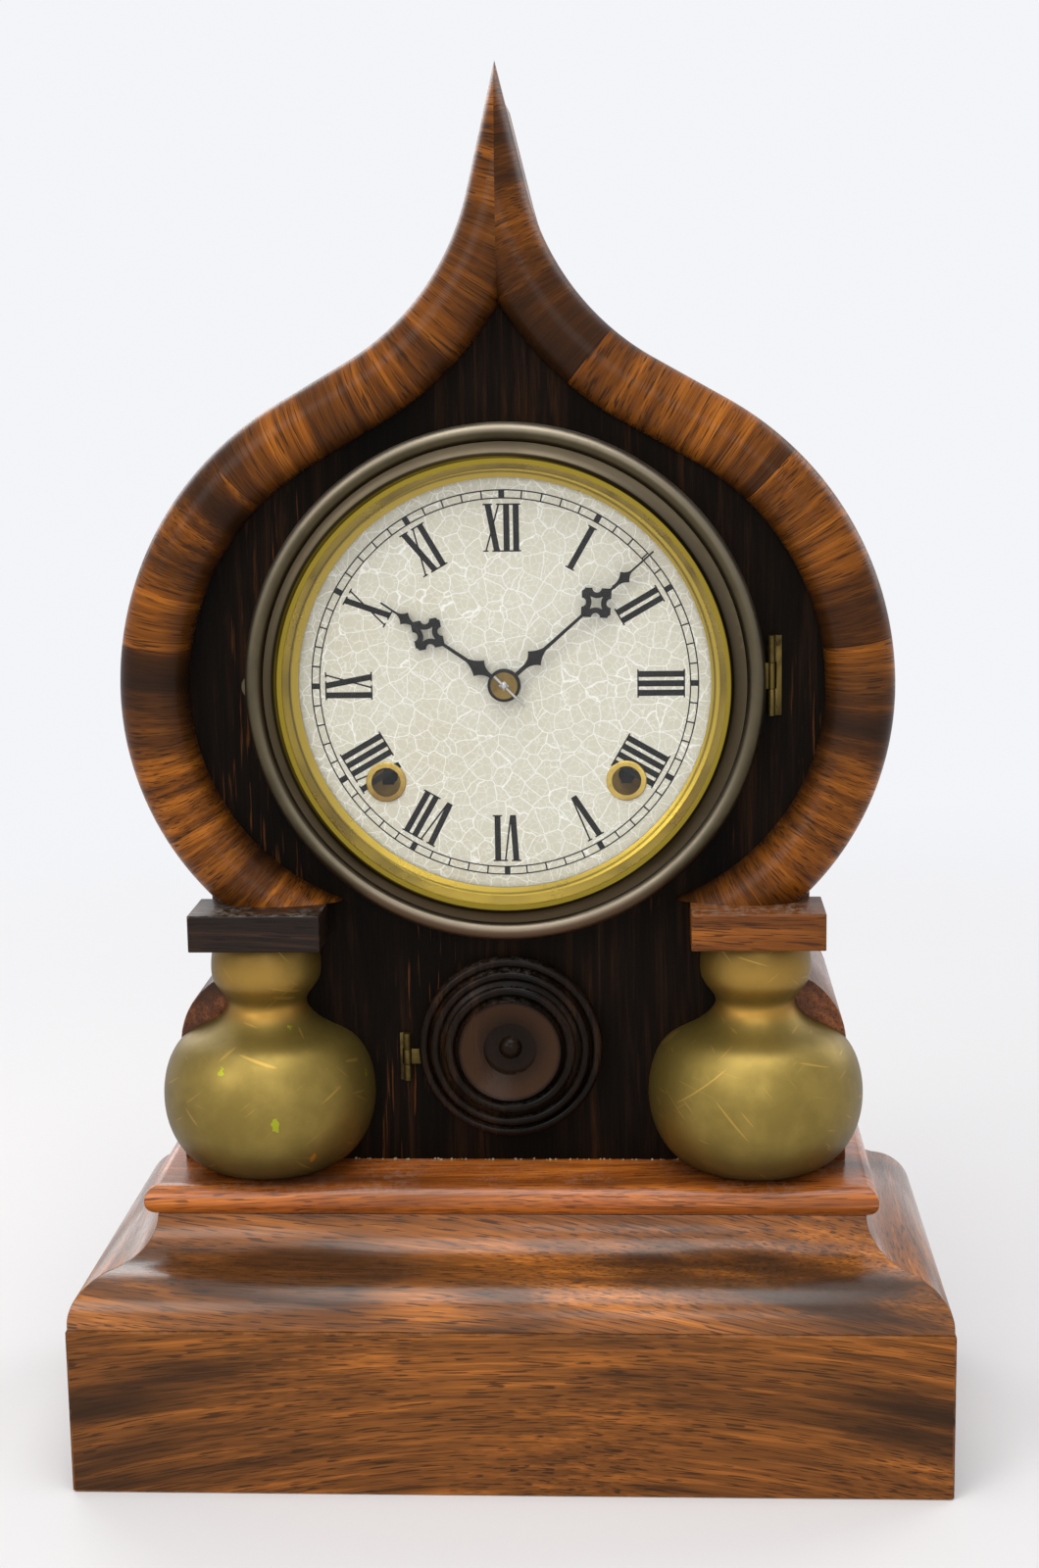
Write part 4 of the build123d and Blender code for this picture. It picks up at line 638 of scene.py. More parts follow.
def metal(name, clean, tarnish, polish, spots=0.5, cloud_size=60.0, foot=None, zones=(), front=None, top=None,
          metallic=1.0, clouded=1.0):
    """A metal with tarnish clouds and spots, other colours on its foot, front or inner zones, and a painted
    top highlight.
    """
    material, tree, shader = new_material(name)
    where = object_place(tree)
    cloud = noise(tree, where, cloud_size, 4.0, 0.6, 0.4)
    spot = noise(tree, where, cloud_size * 9, 3.0, 0.6)
    dull = ramped(tree, cloud, 0.38, 0.66, 0.5 - 0.5 * clouded, 0.5 + 0.5 * clouded)
    dull = math_of(tree, "MAXIMUM", dull, math_of(tree, "MULTIPLY", ramped(tree, spot, 0.56, 0.68), spots))
    colour = mixed(tree, dull, rgb(*clean), rgb(*tarnish))
    spot_at = place(tree, "ShaderNodeSeparateXYZ", {0: where}).outputs
    if foot:
        low, high, foot_colour = foot
        colour = mixed(tree, ramped(tree, spot_at["Z"], high, low), colour, rgb(*foot_colour))
    # Painted highlight: faces that look up get a lighter colour, as if lit from above.
    if top:
        normal = place(tree, "ShaderNodeNewGeometry").outputs["Normal"]
        top_highlight_facing = place(tree, "ShaderNodeSeparateXYZ", {0: normal}).outputs["Z"]
        colour = mixed(tree, ramped(tree, top_highlight_facing, -0.2, 0.9), colour, rgb(*top))
    if zones:
        from_axis = stretched(tree, where, (1, 0, 1), location=(-bezel_middle.x, 0, -bezel_middle.z))
        away = length_of(tree, from_axis)
    for radius, part, zone_colour in zones:
        inside = ramped(tree, away, radius * mm, (radius - zone_fade) * mm, 0.0, part)
        colour = mixed(tree, inside, colour, rgb(*zone_colour))
    if front:
        depth, front_colour = front
        colour = mixed(tree, math_of(tree, "LESS_THAN", spot_at["Y"], depth), colour, rgb(*front_colour))
    tree.links.new(colour, shader.inputs["Base Color"])
    shader.inputs["Metallic"].default_value = metallic
    rough = math_of(tree, "ADD", math_of(tree, "MULTIPLY", dull, 0.22), 0.6 - 0.45 * polish, True)
    tree.links.new(rough, shader.inputs["Roughness"])
    tree.links.new(bump(tree, spot, 0.12, 0.1 * mm), shader.inputs["Normal"])
    return material


bezel_low, bezel_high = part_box("bezel_ring")
bezel_middle = (bezel_low + bezel_high) / 2
zone_fade = 0.4
# The second bezel zone, near black, is painted shadow in the groove where the glass meets the lip.
bezel_zones = ((71.0, 0.75, (74, 64, 48)), (67.3, 0.9, (40, 32, 15)), (66.3, 0.8, (150, 130, 46)))
sight_zones = ((66.2, 0.85, (180, 154, 54)), (62.2, 0.8, (86, 72, 24)), (61.6, 0.9, (170, 144, 52)))
copper_rise = 30 * mm
# The top colour is a painted highlight on the bezel faces that look up.
bezel_bronze = metal("bezel_bronze", (86, 77, 58), (58, 51, 37), 0.55, zones=bezel_zones,
                     top=(156, 146, 128), foot=(bezel_low.z, bezel_low.z + copper_rise, (92, 72, 56)),
                     clouded=0.35, spots=0.3)
bright_brass = metal("sight_brass", (150, 126, 44), (100, 80, 28), 0.9, zones=sight_zones, spots=0.1,
                     clouded=0.3)
hub_rise = 1.0 * mm
hub_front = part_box("minute_hand")[0].y - hub_rise
hub_brass = metal("hub_brass", (132, 108, 56), (74, 58, 34), 0.55, front=(hub_front, (178, 176, 170)))
# Painted shade: the winding squares are darker because they lie deep in their holes.
shaded_winding_steel = metal("winding_squares_shaded", (34, 32, 30), (20, 19, 18), 0.3)
trim_brass = metal("trim_brass", (200, 170, 84), (140, 110, 56), 0.65)
hinge_brass = metal("hinge_brass", (104, 88, 48), (58, 48, 29), 0.4)
plate_brass = metal("movement_brass", (204, 168, 92), (150, 112, 58), 0.6, cloud_size=40.0)
plate_steel = metal("movement_steel", (150, 150, 154), (92, 88, 84), 0.6, cloud_size=90.0)
gong_iron = metal("cast_iron", (62, 59, 56), (44, 36, 30), 0.2, metallic=0.6)
arbor_steel = metal("arbor_steel", (204, 168, 92), (150, 112, 58), 0.6,
                    front=(bezel_high.y, (176, 176, 178)))
print("metals done")

# %% [markdown]
# ## Dial
# The dial is white paint on zinc. It has yellowed and crackled into small cells, with paler cracks
# between them. Voronoi cells with their distance to the edge give those cracks, on two scales as on old
# paint. The vector is disturbed first, so the cells don't look cut with a ruler.

# %% Dial and hand materials
crack_bend = 2.2 * mm
crack_stir = 220.0


def crackled_paint():
    """Yellowed paint with pale cracks."""
    material, tree, shader = new_material("dial_paint")
    where = object_place(tree)
    stir_values = {"Vector": where, "Scale": crack_stir, "Detail": 3.0}
    stir = place(tree, "ShaderNodeTexNoise", stir_values).outputs["Color"]
    push = vector_of(tree, "SUBTRACT", stir, (0.5, 0.5, 0.5))
    moved = vector_of(tree, "ADD", where, scaled(tree, push, crack_bend))
    cracks = []
    for scale, width in ((185.0, 0.036), (430.0, 0.05)):
        cell_values = {"Vector": moved, "Scale": scale}
        cell = place(tree, "ShaderNodeTexVoronoi", cell_values, feature="DISTANCE_TO_EDGE")
        cracks.append(ramped(tree, cell.outputs["Distance"], width, 0.0))
    crack = math_of(tree, "MAXIMUM", cracks[0], math_of(tree, "MULTIPLY", cracks[1], 0.55))
    age = noise(tree, where, 38.0, 4.0, 0.6)
    paint = mixed(tree, ramped(tree, age, 0.3, 0.7), rgb(206, 203, 186), rgb(201, 195, 174))
    colour = mixed(tree, math_of(tree, "MULTIPLY", crack, 0.9), paint, rgb(244, 244, 238))
    tree.links.new(colour, shader.inputs["Base Color"])
    tree.links.new(ramped(tree, crack, 0.0, 1.0, 0.42, 0.6), shader.inputs["Roughness"])
    tree.links.new(bump(tree, crack, 0.3, 0.05 * mm), shader.inputs["Normal"])
    return material


def black_paint(name):
    """Black paint or ink that has dulled in places."""
    material, tree, shader = new_material(name)
    where = object_place(tree)
    cloud = noise(tree, where, 900.0, 4.0, 0.6)
    ink = mixed(tree, ramped(tree, cloud, 0.4, 0.7), rgb(14, 13, 13), rgb(32, 30, 29))
    tree.links.new(ink, shader.inputs["Base Color"])
    tree.links.new(ramped(tree, cloud, 0.3, 0.7, 0.38, 0.55), shader.inputs["Roughness"])
    shader.inputs["Specular IOR Level"].default_value = 0.1
    return material


dial_paint = crackled_paint()
hand_black = black_paint("hand_black")
dial_ink = black_paint("dial_ink")
print("dial and hands done")

# %% [markdown]
# ## Glass and floor
# The bezel glass is sheet glass: clear and hardly tinted. Light that passes through it to the dial should
# cast no dark shadow, so all rays but those of the camera see it as fully clear. The floor is a pale
# table near the clock. Farther off it fades into the colour of the background, as a paper sweep does, so
# that no horizon shows.

# %% Glass and floor materials


def sheet_glass():
    """Clear glass that lets light through to the dial."""
    material, tree, shader = new_material("bezel_glass")
    shader.inputs["Transmission Weight"].default_value = 1.0
    shader.inputs["Roughness"].default_value = 0.02
    shader.inputs["IOR"].default_value = 1.46
    shader.inputs["Specular IOR Level"].default_value = 0.08
    shader.inputs["Base Color"].default_value = (0.98, 0.99, 0.98, 1)
    clear = place(tree, "ShaderNodeBsdfTransparent").outputs[0]
    rays = place(tree, "ShaderNodeLightPath").outputs
    passing = math_of(tree, "MAXIMUM", rays["Is Shadow Ray"], rays["Is Diffuse Ray"])
    passing = math_of(tree, "MAXIMUM", passing, rays["Is Glossy Ray"])
    both = place(tree, "ShaderNodeMixShader", {0: passing, 1: shader.outputs[0], 2: clear})
    tree.links.new(both.outputs[0], tree.nodes["Material Output"].inputs["Surface"])
    return material


def table_paint():
    """An off-white table with faint clouds."""
    material, tree, shader = new_material("table")
    where = object_place(tree)
    cloud = noise(tree, where, 3.0, 3.0)
    tree.links.new(mixed(tree, cloud, rgb(220, 218, 219), rgb(228, 226, 226)), shader.inputs["Base Color"])
    shader.inputs["Roughness"].default_value = 0.8
    rays = place(tree, "ShaderNodeLightPath").outputs
    seen = math_of(tree, "MAXIMUM", rays["Is Camera Ray"], rays["Is Glossy Ray"])
    seen = math_of(tree, "MAXIMUM", seen, rays["Is Transmission Ray"])
    away = length_of(tree, where)
    faded = math_of(tree, "MULTIPLY", ramped(tree, away, 0.35, 1.1), seen)
    sweep = place(tree, "ShaderNodeEmission", {"Color": background_colour}).outputs[0]
    both = place(tree, "ShaderNodeMixShader", {0: faded, 1: shader.outputs[0], 2: sweep})
    tree.links.new(both.outputs[0], tree.nodes["Material Output"].inputs["Surface"])
    return material


bezel_glass = sheet_glass()
floor.data.materials.append(table_paint())
print("glass and floor done")

# %% [markdown]
# ## Dressing the CAD pieces
# A CAD mesh has razor-sharp edges and loose triangles. No cabinetmaker's edge is that sharp, so a copy of
# each visible piece is merged, its flat faces are cleaned and its corners get a small bevel that catches
# the light. A Bevel modifier would work too, but here the new faces are also marked as worn_edge for the
# wear group. Each copy stands for its CAD node and moves with the same body.

# %% Dress a node
record = frame["record"]
body_of_node = {node: body for body, nodes in record["behaviour"]["bodies"].items() for node in nodes}
slot_of_node = {part["node"]: part["material_slot"] for part in record["subparts"]}
merge_distance = 0.002 * mm
flat_angle = math.radians(0.6)
corner_angle = math.radians(30)
smooth_angle = math.radians(34)


def finish_piece(piece, body, material=None, replaced=()):
    """Links a piece, gives it its finish, lets it ride and hides the nodes that it stands for."""
    if piece.name not in scene.collection.objects:
        scene.collection.objects.link(piece)
    if material:
        piece.data.materials.clear()
        piece.data.materials.append(material)
    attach(piece, body)
    if replaced:
        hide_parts(*replaced)
    return piece


def to_object(mesh, name):
    """A bmesh made into an object with smooth shading of its own, broken at the sharp edges."""
    for face in mesh.faces:
        face.smooth = True
    data = bpy.data.meshes.new(name)
    mesh.to_mesh(data)
    mesh.free()
    stored = data.attributes.get("custom_normal")
    if stored:
        data.attributes.remove(stored)
    data.set_sharp_from_angle(angle=smooth_angle)
    return bpy.data.objects.new(name, data)


def dressed(node, material, bevel=0.0):
    """A merged copy of a CAD node with bevelled corners and a finish."""
    mesh = bmesh.new()
    mesh.from_mesh(frame["nodes"][node].data)
    bmesh.ops.remove_doubles(mesh, verts=mesh.verts, dist=merge_distance)
    worn = mesh.faces.layers.float.new("worn_edge")
    if bevel:
        bmesh.ops.dissolve_limit(mesh, angle_limit=flat_angle, verts=mesh.verts, edges=mesh.edges)
        corners = [e for e in mesh.edges if len(e.link_faces) == 2 and e.calc_face_angle() > corner_angle]
        rounding = {"segments": 2, "profile": 0.5, "affect": "EDGES", "clamp_overlap": True}
        made = bmesh.ops.bevel(mesh, geom=corners, offset=bevel, **rounding)
        for face in made["faces"]:
            face[worn] = 1.0
    piece = to_object(mesh, node + "_finished")
    return finish_piece(piece, body_of_node[node], material, (node,))


dress_list = {
    "plinth_front": (rosewood_x, 0.7), "plinth_left": (rosewood_y, 0.7), "plinth_right": (rosewood_y, 0.7),
    "ogee_front": (ogee_x, 0.3), "ogee_left": (ogee_y, 0.3), "ogee_right": (ogee_y, 0.3),
    "deck": (deck_x, 0.4), "cheek_left": (cheek_wood, 0.4), "cheek_right": (cheek_wood, 0.4),
    "case_wall_left": (cheek_wood, 0.0), "case_wall_right": (cheek_wood, 0.0), "back_board": (back_wood, 0.3),
    "corner_blocks": (block_wood, 0.3), "front_panel": (panel_wood, 0.0), "rosette": (rosette_wood, 0.0),
    "capital_left": (capital_dark, 0.3), "capital_right": (capital_red, 0.3),
    "apple_left": (gilt_left, 0.0), "apple_right": (gilt_right, 0.0), "dial": (dial_paint, 0.0),
    "bezel_ring": (bezel_bronze, 0.0), "sight_ring": (bright_brass, 0.0), "bezel_glass": (bezel_glass, 0.0),
    "hour_hand": (hand_black, 0.06), "minute_hand": (hand_black, 0.06), "dial_eyelets": (trim_brass, 0.0),
    "hinge_plates": (hinge_brass, 0.12), "bezel_hinge_leaf": (hinge_brass, 0.12),
    "rosette_hinge_leaf": (hinge_brass, 0.12), "hand_fixings": (hub_brass, 0.0),
    "center_arbor": (arbor_steel, 0.0),
}
for node, (material, bevel) in dress_list.items():
    dressed(node, material, bevel * mm)
print("dressed", len(dress_list), "nodes")

# %% [markdown]
# ## Movement
# The wheels and plates behind the panel are seen only through the openings, so their CAD shapes stay and
# only take a finish: brass for plates and wheels, steel for arbors and springs, iron for the gong's foot.
# The winding squares get a darker steel colour as painted shade, because they lie deep in their holes.

# %% Finish the movement
movement_finish = {"movement_brass": plate_brass, "movement_steel": plate_steel, "gong_iron": gong_iron}
movement_finish["case_wood"] = block_wood
finished_nodes = 0
for node, slot in slot_of_node.items():
    if node in dress_list or slot not in movement_finish:
        continue
    data = frame["nodes"][node].data
    data.materials.clear()
    # The winding squares take the darker steel that paints their shade.
    data.materials.append(shaded_winding_steel if node.endswith("winding_arbor") else movement_finish[slot])
    finished_nodes += 1
print("movement nodes finished:", finished_nodes)

# %% [markdown]
# ## Rim
# The rim is one half-round moulding bent along the onion outline and mitred at the tip. Geometry Nodes
# fit this well: a grid is laid along a curve, each row is pushed out to the half-round section, and the
# same tree stores how far along and across the moulding each point is. The outline is two arcs, a
# straight run, a hollow arc and a straight tip.

# %% The onion outline
onion_half_width, onion_widest = 113.0, 229.8
low_radius, high_radius, hollow_radius = 86.6, 95.4, 74.4
swell_turn, tip_turn, straight_run = math.radians(60.5), math.radians(13.6), 23.5
rim_width, rim_edge = 20.0, 2.0
rim_steps, rim_rows = 220, 26
left_shift = 3.1
rim_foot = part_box("capital_right")[1].z / mm
panel_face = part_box("front_panel")[0].y
arc_step = math.radians(1.5)


def arc_points(middle, radius, start, end):
    """Points along an arc on the front view, both ends included."""
    count = max(2, math.ceil(abs(end - start) / arc_step))
    turns = [start + (end - start) * i / count for i in range(count + 1)]
    return [(middle[0] + radius * math.cos(t), middle[1] + radius * math.sin(t)) for t in turns]


def onion_outline(foot, inset=0.0):
    """The right half of the outline, from its foot to the tip, in millimetres."""
    low = (onion_half_width - low_radius, onion_widest)
    high = (onion_half_width - high_radius, onion_widest)
    start = math.asin((onion_widest - foot) / (low_radius - inset))
    points = arc_points(low, low_radius - inset, -start, 0)
    points += arc_points(high, high_radius - inset, 0, swell_turn)[1:]
    leave = points[-1]
    meet = (leave[0] - straight_run * math.sin(swell_turn), leave[1] + straight_run * math.cos(swell_turn))
    reach = hollow_radius + inset
    hollow = (meet[0] + reach * math.cos(swell_turn), meet[1] + reach * math.sin(swell_turn))
    points += arc_points(hollow, reach, math.pi + swell_turn, math.pi + tip_turn)
    last = points[-1]
    points.append((0.0, last[1] + last[0] / math.tan(tip_turn)))
    return points


outline = onion_outline(rim_foot - rim_width)
print("outline points:", len(outline), "tip at", round(outline[-1][1], 1), "mm")

# %% [markdown]
# ## Helpers for Geometry Nodes
#
# Some pieces repeat a small shape many times or follow a curve. Modelling them by hand would be slow, and
# a change of one size would mean doing it all again. A Geometry Nodes tree keeps such sizes as named
# inputs. These helpers make an empty tree with its inputs, run it once and keep the mesh that comes out.

# %% Geometry Nodes helpers


def new_geometry_tree(name, inputs):
    """An empty geometry tree with its named inputs, and its input and output nodes."""
    tree = bpy.data.node_groups.new(name, "GeometryNodeTree")
    tree.interface.new_socket("Geometry", in_out="INPUT", socket_type="NodeSocketGeometry")
    for label, kind in inputs:
        tree.interface.new_socket(label, in_out="INPUT", socket_type=kind)
    tree.interface.new_socket("Geometry", in_out="OUTPUT", socket_type="NodeSocketGeometry")
    return tree, tree.nodes.new("NodeGroupInput").outputs, tree.nodes.new("NodeGroupOutput").inputs


def run_tree(tree, points, edges, values, name):
    """Runs a tree on a mesh of points and edges, and returns the plain mesh that comes out."""
    base = bpy.data.meshes.new(name + "_base")
    base.from_pydata(points, edges, [])
    holder = bpy.data.objects.new(name + "_base", base)
    scene.collection.objects.link(holder)
    modifier = holder.modifiers.new(name, "NODES")
    modifier.node_group = tree
    for item in tree.interface.items_tree:
        if item.in_out == "INPUT" and item.name in values:
            modifier[item.identifier] = values[item.name]
    holder.update_tag()
    depsgraph = bpy.context.evaluated_depsgraph_get()
    mesh = bpy.data.meshes.new_from_object(holder.evaluated_get(depsgraph), depsgraph=depsgraph)
    holder.modifiers.remove(modifier)
    bpy.data.objects.remove(holder)
    mesh.name = name
    return mesh


def set_material(tree, geometry, material):
    """The end of every tree: instances made real, then the finish."""
    real = place(tree, "GeometryNodeRealizeInstances", {"Geometry": geometry}).outputs[0]
    return place(tree, "GeometryNodeSetMaterial", {"Geometry": real, "Material": material}).outputs[0]


INT, MATERIAL, OBJECT = "NodeSocketInt", "NodeSocketMaterial", "NodeSocketObject"
print("geometry helpers ready")

# %% [markdown]
# ## The tree of the rim
#
# The tree starts from a flat grid. One side of the grid becomes the way along the outline, the other the
# way round the half-round section. Each point finds its place from the position and direction of the
# outline curve there. A curve with a bevel profile would give the same form, but it wouldn't keep the two
# distances that the veneer needs.

# %% The rim's tree


def rim_tree():
    """A closed half-round moulding laid along the incoming edge line."""
    sizes = [("Width", FLOAT), ("Edge", FLOAT), ("Face", FLOAT), ("Steps", INT), ("Rows", INT)]
    tree, given, out = new_geometry_tree("rim moulding", sizes + [("Finish", MATERIAL)])
    curve = place(tree, "GeometryNodeMeshToCurve", {"Mesh": given["Geometry"]}).outputs[0]
    length = place(tree, "GeometryNodeCurveLength", {"Curve": curve}).outputs[0]
    counts = {"Size X": 1.0, "Size Y": 1.0, "Vertices X": given["Steps"], "Vertices Y": given["Rows"]}
    grid = place(tree, "GeometryNodeMeshGrid", counts)
    spot = place(tree, "ShaderNodeSeparateXYZ", {0: place(tree, "GeometryNodeInputPosition").outputs[0]})
    share = math_of(tree, "ADD", spot.outputs["X"], 0.5)
    last_row = math_of(tree, "SUBTRACT", given["Rows"], 1.0)
    row_place = math_of(tree, "MULTIPLY", math_of(tree, "ADD", spot.outputs["Y"], 0.5), last_row)
    row = math_of(tree, "ROUND", row_place)
    rounds = math_of(tree, "SUBTRACT", last_row, 3.0)
    angle = math_of(tree, "DIVIDE", math_of(tree, "SUBTRACT", row, 1.0), rounds, True)
    angle = math_of(tree, "MULTIPLY", angle, math.pi)
    back = math_of(tree, "GREATER_THAN", row, math_of(tree, "SUBTRACT", last_row, 0.5))
    not_back = math_of(tree, "SUBTRACT", 1.0, back)
    radius = math_of(tree, "MULTIPLY", given["Width"], 0.5)
    inward = math_of(tree, "MULTIPLY", radius, math_of(tree, "SUBTRACT", 1.0, math_of(tree, "COSINE", angle)))
    inward = math_of(tree, "MULTIPLY", inward, not_back)
    past_first = math_of(tree, "GREATER_THAN", row, 0.5)
    before_last = math_of(tree, "LESS_THAN", row, math_of(tree, "SUBTRACT", last_row, 1.5))
    wall = math_of(tree, "MULTIPLY", past_first, before_last)
    bulge = math_of(tree, "MULTIPLY", radius, math_of(tree, "SINE", angle))
    proud = math_of(tree, "MULTIPLY", math_of(tree, "ADD", given["Edge"], bulge), wall)
    spot_on_curve = {"Curves": curve, "Factor": share}
    sample = place(tree, "GeometryNodeSampleCurve", spot_on_curve, mode="FACTOR", use_all_curves=True)
    across = vector_of(tree, "CROSS_PRODUCT", sample.outputs["Tangent"], (0, 1, 0))
    pushed = scaled(tree, vector_of(tree, "NORMALIZE", across), inward)
    front = math_of(tree, "SUBTRACT", given["Face"], proud)
    depth = place(tree, "ShaderNodeCombineXYZ", {"Y": front}).outputs[0]
    at = vector_of(tree, "ADD", vector_of(tree, "ADD", sample.outputs["Position"], pushed), depth)
    shape = grid.outputs["Mesh"]
    stores = {"along": math_of(tree, "MULTIPLY", share, length)}
    stores["across"] = math_of(tree, "MULTIPLY", radius, angle)
    for label, value in stores.items():
        values = {"Geometry": shape, "Name": label, "Value": value}
        node = place(tree, "GeometryNodeStoreNamedAttribute", values, data_type="FLOAT", domain="POINT")
        shape = node.outputs[0]
    shape = place(tree, "GeometryNodeSetPosition", {"Geometry": shape, "Position": at}).outputs[0]
    merge = {"Geometry": shape, "Distance": merge_distance}
    shape = place(tree, "GeometryNodeMergeByDistance", merge).outputs[0]
    tree.links.new(set_material(tree, shape, given["Finish"]), out["Geometry"])
    return tree


def cut_rim(mesh, side, name, shift):
    """Trims the moulding at the middle and on the capital, caps it and puts it on its side."""
    made = bmesh.new()
    made.from_mesh(mesh)
    cuts = (((0, 0, 0), (-1, 0, 0)), ((0, 0, rim_foot * mm), (0, 0, -1)))
    for point, away in cuts:
        everything = made.verts[:] + made.edges[:] + made.faces[:]
        plane = {"plane_co": point, "plane_no": away, "clear_outer": True, "dist": merge_distance}
        bmesh.ops.bisect_plane(made, geom=everything, **plane)
        bmesh.ops.holes_fill(made, edges=[e for e in made.edges if e.is_boundary], sides=0)
    along = made.verts.layers.float["along"]
    for vert in made.verts:
        vert.co.x *= side
        vert[along] += shift
    bmesh.ops.recalc_face_normals(made, faces=made.faces)
    return to_object(made, name)


rim_inputs = {"Width": rim_width * mm, "Edge": rim_edge * mm, "Face": panel_face}
rim_inputs.update({"Steps": rim_steps, "Rows": rim_rows, "Finish": rim_veneer})
path = [(x * mm, 0.0, z * mm) for x, z in outline]
steps = [(i, i + 1) for i in range(len(path) - 1)]
rim_mesh = run_tree(rim_tree(), path, steps, rim_inputs, "rim_moulding")
for node, side, shift in (("rim_right", 1, 0.0), ("rim_left", -1, left_shift)):
    piece = cut_rim(rim_mesh, side, node + "_finished", shift)
    finish_piece(piece, body_of_node[node], rim_veneer, (node,))
    print(node, len(piece.data.polygons), "faces")

# %% [markdown]
# ## Numerals
# The dial has Roman numerals in a printed style: one thick stroke, one thin stroke and hairline serifs,
# all standing with their feet to the centre. Clock dials write four as IIII. A font could be used, but
# its letters wouldn't have these proportions, so each letter is a few straight strokes. Each stroke is a
# very thin closed plate on the paint, because printed ink has a thickness too.

# %% Numeral strokes
dial_low, dial_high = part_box("dial")
dial_centre = Vector((0.0, dial_low.y, (dial_low.z + dial_high.z) / 2))
numeral_foot, numeral_top = 38.6, 52.4
thick_stroke, thin_stroke, serif = 1.75, 0.48, 0.42
letter_widths = {"I": 2.75, "V": 5.4, "X": 5.4}
serif_overhang = 0.52
ink_height = 0.05
numerals = ("XII", "I", "II", "III", "IIII", "V", "VI", "VII", "VIII", "IX", "X", "XI")


def slanted(left_foot, left_top, width):
    """A stroke between the foot and the top of a numeral."""
    foot, top = numeral_foot, numeral_top
    return [(left_foot, foot), (left_foot + width, foot), (left_top + width, top), (left_top, top)]


def level(left, right, low):
    """A hairline serif."""
    return [(left, low), (right, low), (right, low + serif), (left, low + serif)]


def letter_strokes(letter, left):
    """The strokes of one letter whose box starts at this place."""
    width = letter_widths[letter]
    right = left + width
    middle = left + width / 2
    if letter == "I":
        edge = middle - thick_stroke / 2
        strokes = [slanted(edge, edge, thick_stroke)]
        feet = [(edge, edge + thick_stroke)]
        tops = feet
    elif letter == "V":
        foot = middle - thin_stroke
        strokes = [slanted(foot - thick_stroke / 2, left + serif_overhang, thick_stroke)]
        thin_top = right - serif_overhang - thin_stroke
        strokes.append(slanted(foot + thick_stroke / 2 - thin_stroke, thin_top, thin_stroke))
        feet = []
        tops = [(left + serif_overhang, left + serif_overhang + thick_stroke)]
        tops.append((right - serif_overhang - thin_stroke, right - serif_overhang))
    else:
        strokes = [slanted(right - serif_overhang - thick_stroke, left + serif_overhang, thick_stroke)]
        strokes.append(slanted(left + serif_overhang, right - serif_overhang - thin_stroke, thin_stroke))
        tops = [(left + serif_overhang, left + serif_overhang + thick_stroke)]
        tops.append((right - serif_overhang - thin_stroke, right - serif_overhang))
        feet = [(left + serif_overhang, left + serif_overhang + thin_stroke)]
        feet.append((right - serif_overhang - thick_stroke, right - serif_overhang))
    for low, ends in ((numeral_foot, feet), (numeral_top - serif, tops)):
        strokes += [level(a - serif_overhang, b + serif_overhang, low) for a, b in ends]
    return strokes


def numeral_strokes(numeral):
    """The strokes of a numeral, centred, with the dial's centre below it."""
    left = -sum(letter_widths[letter] for letter in numeral) / 2
    strokes = []
    for letter in numeral:
        strokes += letter_strokes(letter, left)
        left += letter_widths[letter]
    return strokes


def on_dial(x, y, turn, height):
    """A point of the print turned round the dial's centre, in metres."""
    across = x * math.cos(turn) + y * math.sin(turn)
    up = y * math.cos(turn) - x * math.sin(turn)
    return dial_centre + Vector((across * mm, -height * mm, up * mm))


def add_plate(mesh, outline, turn):
    """A thin closed plate of ink with this outline."""
    back = [mesh.verts.new(on_dial(x, y, turn, 0.0)) for x, y in outline]
    front = [mesh.verts.new(on_dial(x, y, turn, ink_height)) for x, y in outline]
    mesh.faces.new(front)
    mesh.faces.new(back[::-1])
    for i in range(len(outline)):
        j = (i + 1) % len(outline)
        mesh.faces.new((back[i], back[j], front[j], front[i]))


printed = bmesh.new()
for hour, numeral in enumerate(numerals):
    for stroke in numeral_strokes(numeral):
        add_plate(printed, stroke, math.tau * hour / len(numerals))
bmesh.ops.recalc_face_normals(printed, faces=printed.faces)
numeral_piece = finish_piece(to_object(printed, "dial_numerals"), "case", dial_ink)
print("numerals:", len(numeral_piece.data.polygons), "faces")

# %% [markdown]
# ## Minute track
# Two thin circles with a tick for every minute, and a block at every fifth. Sixty copies of a bar round a
# circle are a job for instances: one tree puts a bar on every point of a circle, turned outwards, and
# makes it wider by the point's number. The two circles are flat rings, swept in the same tree.

# %% The track's tree
track_inner, track_outer = 54.0, 56.3
track_line, tick_width, block_width = 0.36, 0.42, 1.7
minutes, minutes_in_five, circle_sides = 60, 5, 240


